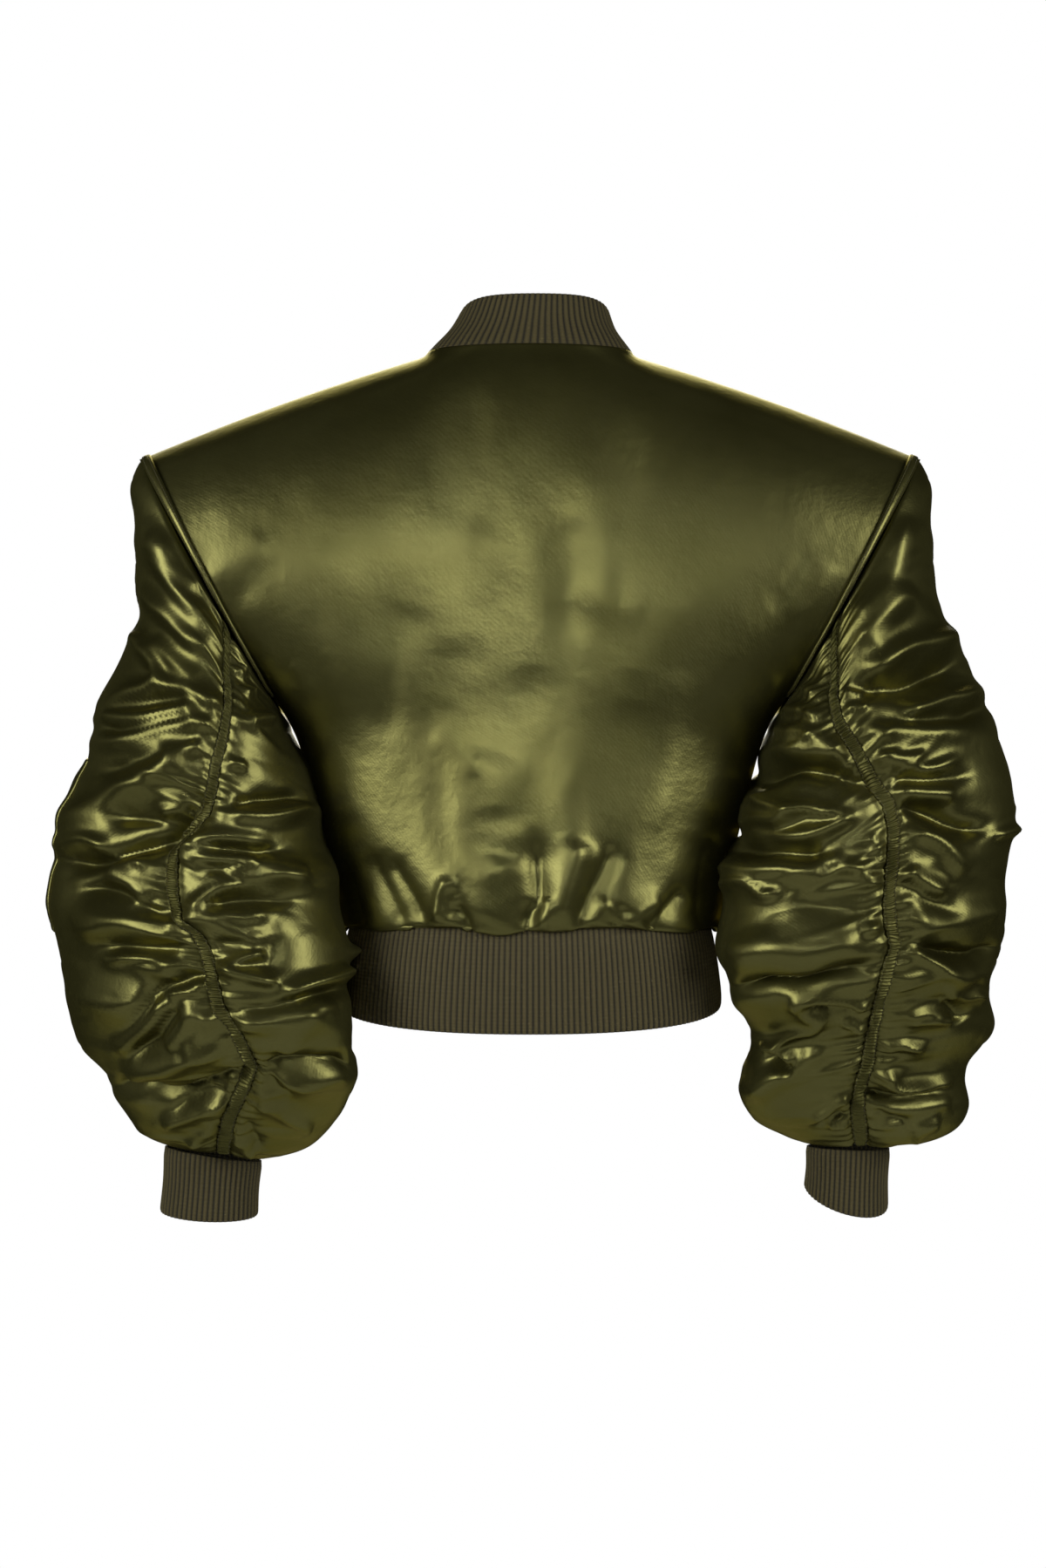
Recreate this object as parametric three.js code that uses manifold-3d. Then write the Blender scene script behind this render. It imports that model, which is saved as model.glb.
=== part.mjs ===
// A cropped, padded bomber jacket seen as it is worn: hollow body, balloon sleeves, knit rib collar,
// waistband and cuffs, and a centre front zip. Millimetres, +Z up, the front faces -Y and the
// wearer's left is +X. The origin is the neck centre, level with the seam where shoulder meets collar.
import * as THREE from 'three';
import { mergeVertices } from 'three/addons/utils/BufferGeometryUtils.js';
import Module from 'manifold-3d';

const wasm = await Module();
wasm.setup();

// Cloth
const seamGap = 0.3;
const shellWall = 4;
const ribWall = 3;
const tapeWall = 1.4;
const ribHeight = 0.9;

// Body
const neckHalf = 95;
const neckBack = 70;
const neckFront = 78;
const neckLevel = 1;
const neckDrop = 76;
const neckDropPower = 3.9;
const shoulderTip = { x: 358, z: -98 };
const shoulderArch = 4;
const underarm = { x: 226, z: -331 };
const armholeDepth = 90;
const bodyRoundness = 2.3;
const shoulderRoundness = 3;
const columnsEachSide = 16;
const frontColumns = 11;
const neckColumns = 4;
const bandWidth = 11;
const zipHalfGap = 6;

// Knit ribs
const ribPitch = 5.3;
const collarRibPitch = 5;
const cuffRibPitch = 5;
const plainPointsPerRib = 0.5;
const bandTopInset = 0.4;
const waistbandBottom = { z: -596, halfWidth: 175, back: 118, front: 112, backDip: 22, frontDip: 14 };
const collarTop = { halfWidth: 67, back: 47, front: 62, shift: -5, backLevel: 49, drop: 68, dropPower: 1.9 };
const collarMiddle = { share: 0.5, inset: 4 };

// Zip
const zipTapeInset = 1;
const zipTapeWall = 2;
const sliderPlate = { width: 9, length: 13, thickness: 2 };
const bail = { earWidth: 1.2, innerHalf: 2.3, earHalfLength: 1.5, barRadius: 0.8, barHeight: 5 };
const pullTab = { width: 7, length: 30, thickness: 1.6, eyeRadius: 2.2, eyeHole: 1.25, eyeHalfWidth: 1.7 };
const sliderPlaceOnTape = 0.5;

const named = (columns, rows) =>
  rows.map((row) => Object.fromEntries(columns.map((column, index) => [column, row[index]])));

// Body sections from the waist seam up to the underarm, with the thickness of the padded cloth. The
// seam is tucked up under the blousing, so the lowest cloth is turned in and thinner.
const bodyLevels = named(['z', 'half', 'back', 'front', 'wall'], [
  [-523, 166, 110, 102, 1.6],
  [-531, 171, 117, 109, 2.2],
  [-528.5, 176, 122, 114, 3],
  [-513, 179, 125, 117, shellWall],
  [-493, 180, 124, 117, shellWall],
  [-466, 184.5, 123, 117, shellWall],
  [-430, 195, 121, 116, shellWall],
  [-394, 202, 119, 115, shellWall],
  [-368, 208, 118, 114, shellWall],
  [-348, 214.5, 117, 113, shellWall],
  [-331, 226, 116, 112, shellWall],
]);
const turnedIn = { out: -0.9, up: -0.43 };

// Gathers above the waist seam: place as a share of the half body, height, width and reach upwards.
const backGathers = named(['place', 'height', 'width', 'reach'], [
  [-0.93, 3.5, 0.07, 70],
  [-0.74, 4.5, 0.075, 120],
  [-0.55, 4, 0.06, 75],
  [-0.37, 5, 0.07, 60],
  [-0.17, 4, 0.06, 80],
  [0.01, 5.5, 0.07, 55],
  [0.2, 5, 0.07, 110],
  [0.4, 4, 0.06, 70],
  [0.57, 4.5, 0.06, 95],
  [0.75, 4.5, 0.07, 80],
  [0.93, 3.5, 0.06, 60],
]);
const frontGathers = named(['place', 'height', 'width', 'reach'], [
  [-0.9, 4, 0.08, 70],
  [-0.68, 4.5, 0.08, 90],
  [-0.46, 4, 0.08, 65],
  [-0.24, 4.5, 0.08, 80],
  [0.22, 4.5, 0.08, 85],
  [0.44, 4, 0.08, 60],
  [0.67, 4.5, 0.08, 95],
  [0.89, 4, 0.08, 70],
]);

const gatherSink = 1.5;
const gatherSinkReach = 80;

// Sleeve rings from the armhole to the cuff seam. Each ring leans from its outer to its inner point.
const ringColumns = ['outerX', 'outerZ', 'innerX', 'innerZ', 'middleY', 'lobeY', 'back', 'front'];
const sleeveRings = {
  left: named(ringColumns, [
    [358, -98, 226, -331, 0, 0, 90, 90],
    [367, -128, 217, -351, 0, 3, 97, 96],
    [361, -185, 208, -376, 0, 18, 103, 99],
    [359, -250, 201, -403, 2, 34, 107, 100],
    [397, -321, 195, -434, 4, 44, 110, 101],
    [404, -372, 186, -468, 6, 52, 111, 102],
    [431, -436, 177, -504, 8, 60, 111, 104],
    [442, -486, 169, -540, 8, 72, 110, 104],
    [437, -530, 162, -576, 6, 82, 108, 102],
    [426, -583, 159, -612, 4, 84, 104, 98],
    [415, -632, 159, -645, -6, 74, 98, 96],
    [396, -660, 163, -672, -18, 56, 90, 92],
    [385, -686, 176, -700, -28, 34, 76, 80],
    [362, -714, 203, -731, -36, 12, 58, 62],
    [339, -731, 249, -745, -42, 0, 36, 36],
  ]),
  right: named(ringColumns, [
    [358, -98, 226, -331, 0, 0, 90, 90],
    [369, -128, 217, -351, 0, 3, 97, 96],
    [369, -180, 208, -376, 0, 18, 103, 99],
    [371, -224, 201, -403, 2, 34, 107, 100],
    [397, -278, 195, -434, 4, 42, 110, 101],
    [424, -336, 187, -468, 6, 46, 111, 103],
    [440, -396, 181, -500, 8, 48, 111, 105],
    [444, -440, 176, -530, 8, 52, 111, 106],
    [436, -500, 172, -560, 5, 56, 110, 106],
    [437, -545, 180, -592, 0, 50, 107, 104],
    [421, -580, 203, -620, -10, 30, 100, 100],
    [427, -620, 203, -646, -20, 24, 92, 94],
    [405, -656, 197, -680, -28, 18, 82, 84],
    [399, -711, 212, -711, -36, 8, 62, 64],
    [334, -733, 257, -731, -42, 0, 36, 36],
  ]),
};
const ringSteps = [0, 1, 2, 3, 4, 5, 5.5, 6, 6.5, 7, 7.5, 8, 8.5, 9, 9.5, 10, 10.5, 11, 11.5, 12, 12.5, 13,
  13.5, 14];

// Seams and folds of the sleeves are placed as they are seen from behind, from this far away.
const viewFromBehind = { distance: 3500, x: 6.4, z: -395.6 };

// Line of the gathered seam down the back of each sleeve.
const tapeLine = {
  left: named(['x', 'z'], [
    [276, -238], [269, -287], [267, -325], [273, -364], [281, -396], [288, -414], [318, -447], [320, -474],
    [315, -495], [316, -512], [288, -532], [283, -567], [277, -592], [258, -626], [246, -654], [258, -682],
    [272, -718], [276, -740],
  ]),
  right: named(['x', 'z'], [
    [275, -240], [267, -282], [266, -304], [274, -338], [290, -367], [306, -392], [320, -416], [321, -446],
    [320, -485], [319, -520], [326, -541], [317, -563], [311, -592], [305, -625], [298, -654], [291, -678],
    [294, -712], [296, -732],
  ]),
};

// Large folds of the sleeves, each from one end to the other in the view from behind.
const foldColumns = ['fromX', 'fromZ', 'toX', 'toZ', 'height', 'width'];
const sleeveFolds = {
  left: named(foldColumns, [
    [352, -170, 286, -268, 4, 15],
    [350, -262, 296, -292, -5, 13],
    [400, -334, 290, -338, 5, 13],
    [396, -358, 300, -346, -5, 12],
    [428, -436, 292, -368, 7, 19],
    [440, -463, 306, -424, -8, 14],
    [290, -420, 204, -408, 6, 14],
    [296, -446, 206, -448, -6, 13],
    [330, -456, 250, -468, 6, 13],
    [442, -500, 330, -500, 6, 18],
    [316, -520, 224, -486, -6, 13],
    [436, -548, 300, -540, -6, 14],
    [284, -545, 172, -560, 6, 16],
    [428, -590, 284, -575, 6, 18],
    [270, -590, 172, -604, -6, 13],
    [415, -628, 280, -606, -7, 13],
    [258, -628, 170, -634, 6, 15],
    [388, -658, 262, -640, 6, 13],
    [250, -656, 182, -672, -6, 12],
    [376, -694, 268, -664, -6, 12],
    [264, -690, 200, -704, 5, 13],
  ]),
  right: named(foldColumns, [
    [364, -170, 284, -252, 4, 15],
    [384, -262, 280, -270, -5, 13],
    [400, -296, 276, -288, 6, 14],
    [424, -344, 284, -322, 6, 18],
    [412, -318, 290, -306, -6, 12],
    [262, -300, 216, -338, 5, 14],
    [276, -350, 206, -372, -6, 13],
    [436, -392, 310, -372, -6, 14],
    [300, -384, 200, -408, 6, 15],
    [442, -424, 326, -412, 6, 17],
    [314, -420, 194, -448, -7, 14],
    [440, -462, 326, -448, -6, 13],
    [312, -462, 190, -482, 6, 16],
    [434, -500, 326, -486, 6, 15],
    [316, -500, 188, -520, -7, 13],
    [436, -528, 330, -516, -6, 12],
    [436, -552, 326, -545, 6, 13],
    [312, -560, 188, -566, 6, 16],
    [306, -590, 204, -606, -8, 14],
    [416, -586, 322, -570, -7, 13],
    [300, -618, 206, -632, 6, 14],
    [418, -622, 312, -600, 6, 15],
    [396, -660, 304, -640, -6, 12],
    [292, -668, 206, -662, -5, 12],
    [384, -690, 296, -668, 5, 13],
    [284, -698, 222, -694, 5, 12],
  ]),
};
const frontFoldShare = 0.8;
const frontFoldDrop = 12;

// Angles round a sleeve: the armhole's top is 0, the back 90, the underarm 180 and the front 270.
const frontSeamAngle = -90;
const outerFrontSteps = 5;
const outerBackSteps = 6;
const innerBackSteps = 4;
const innerFrontSteps = 4;
const tapeHalfWidth = 6;
const tapeLift = 0.4;
const tapePleatLift = 1.6;

// Pocket on the outside of the wearer's left sleeve, between these rings and columns.
const sleevePocket = { side: 'left', fromRing: 5, toRing: 8, fromColumn: 2, toColumn: 6, thickness: 2.2 };

const cuffLength = { left: { outer: 62, inner: 52 }, right: { outer: 58, inner: 42 } };
const cuffLean = { left: 4, right: -2 };
const cuffSeamGap = 0.5;

const radians = Math.PI / 180;
const vector = (x, y, z) => new THREE.Vector3(x, y, z);
const mix = (from, to, share) => from + (to - from) * share;
const smooth = (value) => {
  const t = Math.min(1, Math.max(0, value));
  return t * t * (3 - 2 * t);
};
const bump = (distance, width) => Math.exp(-((distance / width) ** 2));

// Smooth curve through the rows of a table, read at a place counted in rows.
function readTable(rows, place) {
  const index = Math.min(rows.length - 2, Math.floor(place));
  const t = place - index;
  const row = (k) => rows[Math.min(rows.length - 1, Math.max(0, k))];
  const [a, b, c, d] = [row(index - 1), row(index), row(index + 1), row(index + 2)];
  const result = {};
  for (const key of Object.keys(b)) {
    result[key] = 0.5 * (2 * b[key] + (c[key] - a[key]) * t
      + (2 * a[key] - 5 * b[key] + 4 * c[key] - d[key]) * t * t
      + (3 * b[key] - a[key] - 3 * c[key] + d[key]) * t * t * t);
  }
  return result;
}

function readByKey(rows, key, value, wanted) {
  const sign = Math.sign(rows[rows.length - 1][key] - rows[0][key]);
  for (let i = 0; i < rows.length - 1; i += 1) {
    if ((rows[i + 1][key] - value) * sign >= 0 || i === rows.length - 2) {
      const share = (value - rows[i][key]) / (rows[i + 1][key] - rows[i][key]);
      return mix(rows[i][wanted], rows[i + 1][wanted], Math.min(1, Math.max(0, share)));
    }
  }
  return rows[0][wanted];
}

// Joins two lines of point numbers with triangles, the finer line fanning onto the coarser one.
function bridge(faces, first, second, secondLeads = false) {
  let i = 0;
  let j = 0;
  while (i < first.length - 1 || j < second.length - 1) {
    const firstShare = (i + 1) / (first.length - 1);
    const secondShare = (j + 1) / (second.length - 1);
    const tie = secondLeads ? -1e-9 : 1e-9;
    const stepFirst = j === second.length - 1 || (i < first.length - 1 && firstShare <= secondShare + tie);
    if (stepFirst) {
      faces.push(first[i], first[i + 1], second[j]);
      i += 1;
    } else {
      faces.push(first[i], second[j + 1], second[j]);
      j += 1;
    }
  }
}

// A closed cloth wall between an outer and an inner grid of points, with its four rims. Facets of the
// two side rims lean up, or down with leansDown, so that they match the rim across a seam.
function clothWall(outer, inner, { wraps = false, leansDown = false } = {}) {
  const points = [];
  const numberGrid = (grid) => grid.map((row) => row.map((point) => points.push(point) - 1));
  const outerIds = numberGrid(outer);
  const innerIds = numberGrid(inner);
  if (wraps) {
    [...outerIds, ...innerIds].forEach((row) => row.push(row[0]));
  }
  const faces = [];
  const skin = (ids, reversed) => {
    for (let r = 0; r < ids.length - 1; r += 1) {
      for (let c = 0; c < ids[0].length - 1; c += 1) {
        const [p, q, s, t] = [ids[r][c], ids[r][c + 1], ids[r + 1][c + 1], ids[r + 1][c]];
        faces.push(...(reversed ? [p, s, q, p, t, s] : [p, q, s, p, s, t]));
      }
    }
  };
  skin(outerIds, false);
  skin(innerIds, true);
  const column = (ids, c) => ids.map((row) => row[c]);
  const lastOuter = outerIds[0].length - 1;
  const lastInner = innerIds[0].length - 1;
  bridge(faces, outerIds[0].slice().reverse(), innerIds[0].slice().reverse());
  bridge(faces, outerIds[outerIds.length - 1], innerIds[innerIds.length - 1]);
  if (!wraps) {
    bridge(faces, column(outerIds, 0), column(innerIds, 0), leansDown);
    bridge(faces, column(outerIds, lastOuter).reverse(), column(innerIds, lastInner).reverse(), !leansDown);
  }
  return geometryFrom(points, faces);
}

// Faces are turned over as a whole when they enclose a negative volume.
function geometryFrom(points, faces) {
  let volume = 0;
  for (let i = 0; i < faces.length; i += 3) {
    volume += points[faces[i]].dot(points[faces[i + 1]].clone().cross(points[faces[i + 2]]));
  }
  const ordered = faces.slice();
  if (volume < 0) {
    for (let i = 0; i < ordered.length; i += 3) {
      [ordered[i + 1], ordered[i + 2]] = [ordered[i + 2], ordered[i + 1]];
    }
  }
  const geometry = new THREE.BufferGeometry();
  geometry.setAttribute('position', new THREE.Float32BufferAttribute(points.flatMap((p) => p.toArray()), 3));
  geometry.setIndex(ordered);
  geometry.computeVertexNormals();
  return geometry;
}

// Directions square to a grid of points, facing as a whole away from the points that inside(row) gives.
function gridNormals(grid, inside, wraps = false) {
  let facing = 0;
  const rows = grid.length;
  const columns = grid[0].length;
  const around = (c) => (wraps ? (c + columns) % columns : Math.min(columns - 1, Math.max(0, c)));
  const normals = grid.map((row, r) => row.map((point, c) => {
    const along = row[around(c + 1)].clone().sub(row[around(c - 1)]);
    const up = grid[Math.min(rows - 1, r + 1)][c].clone().sub(grid[Math.max(0, r - 1)][c]);
    const normal = along.cross(up).normalize();
    facing += normal.dot(point.clone().sub(inside(r)));
    return normal;
  }));
  if (facing < 0) {
    normals.forEach((row) => row.forEach((normal) => normal.negate()));
  }
  return normals;
}

const offsetGrid = (grid, directions, distance) =>
  grid.map((row, r) => row.map((point, c) => point.clone().addScaledVector(directions[r][c], distance)));

// The neck seam, where x is given and face is 1 at the back and -1 at the front.
function neckPoint(x, face) {
  const depth = face > 0 ? neckBack : neckFront;
  const y = face * depth * Math.sqrt(Math.max(0, 1 - (x / neckHalf) ** 2));
  const share = (neckBack - y) / (neckBack + neckFront);
  return vector(x, y, neckLevel - neckDrop * share ** neckDropPower);
}

function topPoint(x, face) {
  if (x <= neckHalf + 1e-6) {
    return neckPoint(x, face);
  }
  const corner = neckPoint(neckHalf, face);
  const share = (x - neckHalf) / (shoulderTip.x - neckHalf);
  return vector(x, 0, mix(corner.z, shoulderTip.z, share) + shoulderArch * Math.sin(share * Math.PI));
}

// The wall of the body and the wall of the sleeve meet along the armhole in this direction.
function armholeDirection(angle) {
  const c = Math.cos(angle * radians);
  const end = c > 0 ? vector(0.76, 0, 0.65) : vector(-0.4, 0, -0.92);
  return end.multiplyScalar(Math.abs(c)).add(vector(0, Math.sin(angle * radians), 0)).normalize();
}

function neckDirection(point) {
  const depth = point.y > 0 ? neckBack : neckFront;
  const out = vector(point.x / neckHalf ** 2, point.y / depth ** 2, 0).normalize();
  return out.multiplyScalar(0.5).add(vector(0, 0, 0.85)).normalize();
}

// Angles of the sleeve's columns at the armhole, from the front seam over the top, back and underarm.
const viewScale = (y) => viewFromBehind.distance / (viewFromBehind.distance - y);
const tapeStartX = mix(viewFromBehind.x, tapeLine.left[0].x, 1 / viewScale(armholeDepth));
const armholeTapeAngle = Math.acos(1 - (2 * (shoulderTip.x - tapeStartX)) / (shoulderTip.x - underarm.x))
  / radians;
const armholePerimeterRadius = 118;
const tapeHalfAngle = tapeHalfWidth / armholePerimeterRadius / radians;
const spread = (from, to, steps) => Array.from({ length: steps }, (unused, i) => mix(from, to, i / steps));
const outerAngles = (tapeAngle, half) => [
  ...spread(frontSeamAngle, 0, outerFrontSteps),
  ...spread(0, tapeAngle - half, outerBackSteps),
  tapeAngle - half,
  tapeAngle,
];
const innerAngles = (tapeAngle, half) => [
  tapeAngle,
  ...spread(tapeAngle + half, 180, innerBackSteps),
  ...spread(180, 360 + frontSeamAngle, innerFrontSteps),
  360 + frontSeamAngle,
];
const armholeAngles = [...outerAngles(armholeTapeAngle, tapeHalfAngle),
  ...innerAngles(armholeTapeAngle, tapeHalfAngle).slice(1, -1)];
const backAngles = armholeAngles.filter((angle) => angle >= 0 && angle <= 180).sort((a, b) => b - a);
const frontAngles = armholeAngles.map((angle) => (angle <= 0 ? angle + 360 : angle))
  .filter((angle) => angle >= 180).sort((a, b) => a - b);

// One half of a body panel: points in rows from the waist seam to the shoulder, from centre to side.
function bodyPoint(share, column, columns, rowAngle, level, face) {
  const neckEnd = neckHalf / shoulderTip.x;
  const topShares = (index) => {
    if (index <= neckColumns) {
      return neckEnd * Math.sin((index / neckColumns) * 90 * radians);
    }
    const edge = 1 - bandWidth / shoulderTip.x;
    const place = (index - neckColumns) / (columns - 1 - neckColumns);
    return index === columns ? 1 : mix(neckEnd, edge, place);
  };
  const lowAngle = share * 90 * radians;
  const lowShare = Math.sin(lowAngle) ** (2 / bodyRoundness);
  const lowDepth = Math.cos(lowAngle) ** (2 / bodyRoundness);
  const depthKey = face > 0 ? 'back' : 'front';
  if (level) {
    const depth = share === 1 ? 0 : level[depthKey] * lowDepth;
    return vector(level.half * lowShare, face * depth, level.z);
  }
  const q = (1 + Math.cos(rowAngle * radians)) / 2;
  const edgeX = mix(underarm.x, shoulderTip.x, q);
  const edgeY = armholeDepth * Math.abs(Math.sin(rowAngle * radians));
  const topShare = topShares(column);
  const wide = column === columns ? 1 : mix(lowShare, topShare, smooth(q));
  const top = topPoint(topShare * shoulderTip.x, face);
  if (q > 1 - 1e-9) {
    return top;
  }
  const chest = bodyLevels[bodyLevels.length - 1][depthKey];
  const roll = (1 - q ** shoulderRoundness) ** (1 / shoulderRoundness);
  const core = mix(Math.abs(top.y), chest, roll);
  const closing = (1 - wide ** bodyRoundness) ** (1 / bodyRoundness);
  return vector(edgeX * wide, face * mix(edgeY, core, closing), mix(underarm.z, top.z, q));
}

// How far the gathers push a point of the body out, at a share of the half body and a level.
function gatherRelief(gathers, place, z) {
  const seam = bodyLevels[0].z;
  const rise = Math.max(0, z - seam);
  let relief = -gatherSink * Math.exp(-rise / gatherSinkReach);
  for (const gather of gathers) {
    relief += gather.height * Math.exp(-rise / gather.reach) * bump(place - gather.place, gather.width);
  }
  return relief;
}

function bodyHalf(face, side, columns, rowAngles) {
  const rows = [];
  bodyLevels.slice(0, -1).forEach((level, r) => rows.push({ level, r }));
  rowAngles.forEach((angle) => rows.push({ angle }));
  const gathers = face > 0 ? backGathers : frontGathers;
  const grid = rows.map(({ level, angle }, r) => Array.from({ length: columns + 1 }, (unused, column) => {
    const share = column / columns;
    const point = bodyPoint(share, column, columns, angle, level, face);
    const out = vector(point.x, point.y, 0).normalize();
    const edgeFade = smooth((1 - share) * 6);
    const relief = r === 0 ? 0 : gatherRelief(gathers, share * side, point.z) * edgeFade;
    if (point.z < underarm.z) {
      point.addScaledVector(out, relief);
    }
    point.x *= side;
    return point;
  }));
  const normals = gridNormals(grid, (r) => vector(0, 0, grid[r][0].z - (rows[r].angle === undefined ? 0 : 60)));
  normals.forEach((row, r) => row.forEach((normal, column) => {
    const { angle } = rows[r];
    const atSide = column === columns;
    if (r === 0) {
      normal.copy(flatOut(grid[r][column]).multiplyScalar(turnedIn.out)).setZ(turnedIn.up);
    }
    if (r === rows.length - 1) {
      if (Math.abs(grid[r][column].x) <= neckHalf + 1e-6) {
        normal.copy(neckDirection(grid[r][column]));
      }
      if (Math.abs(grid[r][column].x) >= neckHalf - 1e-6) {
        normal.setY(0);
      }
    }
    if (atSide && angle !== undefined) {
      normal.copy(armholeDirection(angle));
      normal.x *= side;
    }
    if (atSide && (angle === undefined || angle === 180 || angle === 0 || angle === 360)) {
      normal.setY(0);
    }
    if (column === 0) {
      normal.setX(0);
    }
    normal.normalize();
  }));
  return { grid, normals };
}

function nudgeFromMiddlePlane(grid, face) {
  grid.forEach((row) => row.forEach((point) => {
    if (Math.abs(point.y) < seamGap) {
      point.y = (face * seamGap) / 2;
    }
  }));
}

const innerOf = (grid, normals, wall) => offsetGrid(grid, normals, -wall);

function bodyInner(grid, normals) {
  return grid.map((row, r) => {
    const { wall } = bodyLevels[Math.min(r, bodyLevels.length - 1)];
    return row.map((point, c) => point.clone().addScaledVector(normals[r][c], -wall));
  });
}

const mirrorRows = (left, right) => left.map((row, r) => [...row.slice().reverse(), ...right[r].slice(1)]);

function backPanel() {
  const left = bodyHalf(1, 1, columnsEachSide, backAngles);
  const right = bodyHalf(1, -1, columnsEachSide, backAngles);
  const grid = mirrorRows(left.grid, right.grid);
  const normals = mirrorRows(left.normals, right.normals);
  const inner = bodyInner(grid, normals);
  nudgeFromMiddlePlane(grid, 1);
  nudgeFromMiddlePlane(inner, 1);
  return { outer: grid, inner, normals, halves: { left, right } };
}

function frontPanel(side) {
  const half = bodyHalf(-1, side, frontColumns, frontAngles);
  half.grid.forEach((row) => {
    row[0].x = side * zipHalfGap;
    if (Math.abs(row[1].x) < 2 * zipHalfGap) {
      row[1].x = side * 2 * zipHalfGap;
    }
  });
  const inner = bodyInner(half.grid, half.normals);
  nudgeFromMiddlePlane(half.grid, -1);
  nudgeFromMiddlePlane(inner, -1);
  return { outer: half.grid, inner, normals: half.normals };
}

// A strip that lies on the columns of a panel, from one distance above it to another. Its columns may
// be parts of a whole one.
function stripOn(grid, normals, rows, columns, from, to) {
  const between = (line, c) => {
    const first = Math.min(line.length - 2, Math.floor(c));
    return line[first].clone().lerp(line[first + 1], c - first);
  };
  const pick = (source) => rows.map((r) => columns.map((c) => between(source[r], c)));
  const base = pick(grid);
  const directions = pick(normals);
  return clothWall(offsetGrid(base, directions, to), offsetGrid(base, directions, from));
}

// Sleeve surface, before its folds.
function sleevePoint(side, place, angle) {
  const ring = readTable(sleeveRings[side], place);
  const c = Math.cos(angle * radians);
  const s = Math.sin(angle * radians);
  const toInner = (1 - c) / 2;
  const depth = s > 0 ? ring.back : ring.front;
  return vector(
    mix(ring.outerX, ring.innerX, toInner),
    ring.middleY + s * depth + ring.lobeY * toInner,
    mix(ring.outerZ, ring.innerZ, toInner),
  );
}

// Where a point of the sleeve seems to be in the middle plane, seen from behind.
function seenFromBehind(side, point) {
  const scale = viewScale(point.y);
  const middleX = side === 'left' ? viewFromBehind.x : -viewFromBehind.x;
  return { x: mix(middleX, point.x, scale), z: mix(viewFromBehind.z, point.z, scale) };
}

// Angle at which the gathered seam crosses a ring of the sleeve.
function tapeAngleAt(side, place) {
  if (place === 0) {
    return armholeTapeAngle;
  }
  let best = 90;
  let bestMiss = Infinity;
  for (let angle = 55; angle <= 135; angle += 0.25) {
    const seen = seenFromBehind(side, sleevePoint(side, place, angle));
    const lineX = readByKey(tapeLine[side], 'z', seen.z, 'x');
    const miss = Math.abs(lineX - seen.x);
    if (miss < bestMiss) {
      bestMiss = miss;
      best = angle;
    }
  }
  return best;
}

function distanceToFold(fold, x, z) {
  const dx = fold.toX - fold.fromX;
  const dz = fold.toZ - fold.fromZ;
  const length = Math.hypot(dx, dz);
  const along = ((x - fold.fromX) * dx + (z - fold.fromZ) * dz) / (length * length);
  const clamped = Math.min(1, Math.max(0, along));
  return Math.hypot(x - fold.fromX - dx * clamped, z - fold.fromZ - dz * clamped);
}

function foldRelief(side, point, angle, place) {
  const s = Math.sin(angle * radians);
  const ends = smooth(place) * smooth((sleeveRings[side].length - 1 - place) / 0.8);
  const drop = s > 0 ? 0 : frontFoldDrop;
  const share = s > 0 ? 1 : frontFoldShare;
  const facing = smooth(Math.abs(s) * 2.2);
  const seen = seenFromBehind(side, point);
  let relief = 0;
  for (const fold of sleeveFolds[side]) {
    relief += fold.height * bump(distanceToFold(fold, seen.x, seen.z + drop), fold.width);
  }
  return relief * share * facing * ends;
}

function sleeveGrid(side) {
  const sign = side === 'left' ? 1 : -1;
  const centre = (place) => sleevePoint(side, place, 0).add(sleevePoint(side, place, 180)).multiplyScalar(0.5);
  const columnAngles = (place) => {
    const tapeAngle = tapeAngleAt(side, place);
    const ring = readTable(sleeveRings[side], place);
    const radius = place === 0 ? armholePerimeterRadius : Math.max(ring.back, 40) * 1.1;
    const half = tapeHalfWidth / radius / radians;
    return [...outerAngles(tapeAngle, half), ...innerAngles(tapeAngle, half).slice(1, -1)];
  };
  const angles = ringSteps.map(columnAngles);
  const grid = ringSteps.map((place, r) => angles[r].map((angle) => {
    const point = sleevePoint(side, place, angle);
    const out = point.clone().sub(centre(place)).normalize();
    return point.addScaledVector(out, foldRelief(side, point, angle, place));
  }));
  const normals = gridNormals(grid, (r) => centre(ringSteps[r]), true);
  const armholeAxis = vector(shoulderTip.z - underarm.z, 0, underarm.x - shoulderTip.x).normalize();
  grid[0].forEach((point, c) => {
    normals[0][c].copy(armholeDirection(angles[0][c]));
    point.addScaledVector(armholeAxis, seamGap);
  });
  const last = ringSteps.length - 1;
  const cuffCentre = centre(ringSteps[last]);
  grid[last].forEach((point, c) => normals[last][c].copy(point.clone().sub(cuffCentre).normalize()));
  const inner = innerOf(grid, normals, shellWall);
  grid[last].forEach((point, c) => inner[last][c].copy(point).addScaledVector(normals[last][c], -ribWall));
  [...grid, ...inner, ...normals].forEach((row) => row.forEach((point) => { point.x *= sign; }));
  return { outer: grid, inner, normals, cuffCentre: vector(cuffCentre.x * sign, cuffCentre.y, cuffCentre.z) };
}

const outerColumnCount = outerFrontSteps + outerBackSteps + 2;

// A panel of the sleeve between two seams, each seam edge drawn back by half the seam gap.
function sleevePanel(sleeve, from, to) {
  const total = sleeve.outer[0].length;
  const pick = (grid) => grid.map((row) => {
    const columns = Array.from({ length: to - from + 1 }, (unused, i) => row[(from + i) % total].clone());
    const last = columns.length - 1;
    const inwards = (edge, next) => columns[edge].addScaledVector(
      columns[next].clone().sub(columns[edge]).normalize(), seamGap / 2);
    inwards(0, 1);
    inwards(last, last - 1);
    return columns;
  });
  return clothWall(pick(sleeve.outer), pick(sleeve.inner));
}

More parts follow.
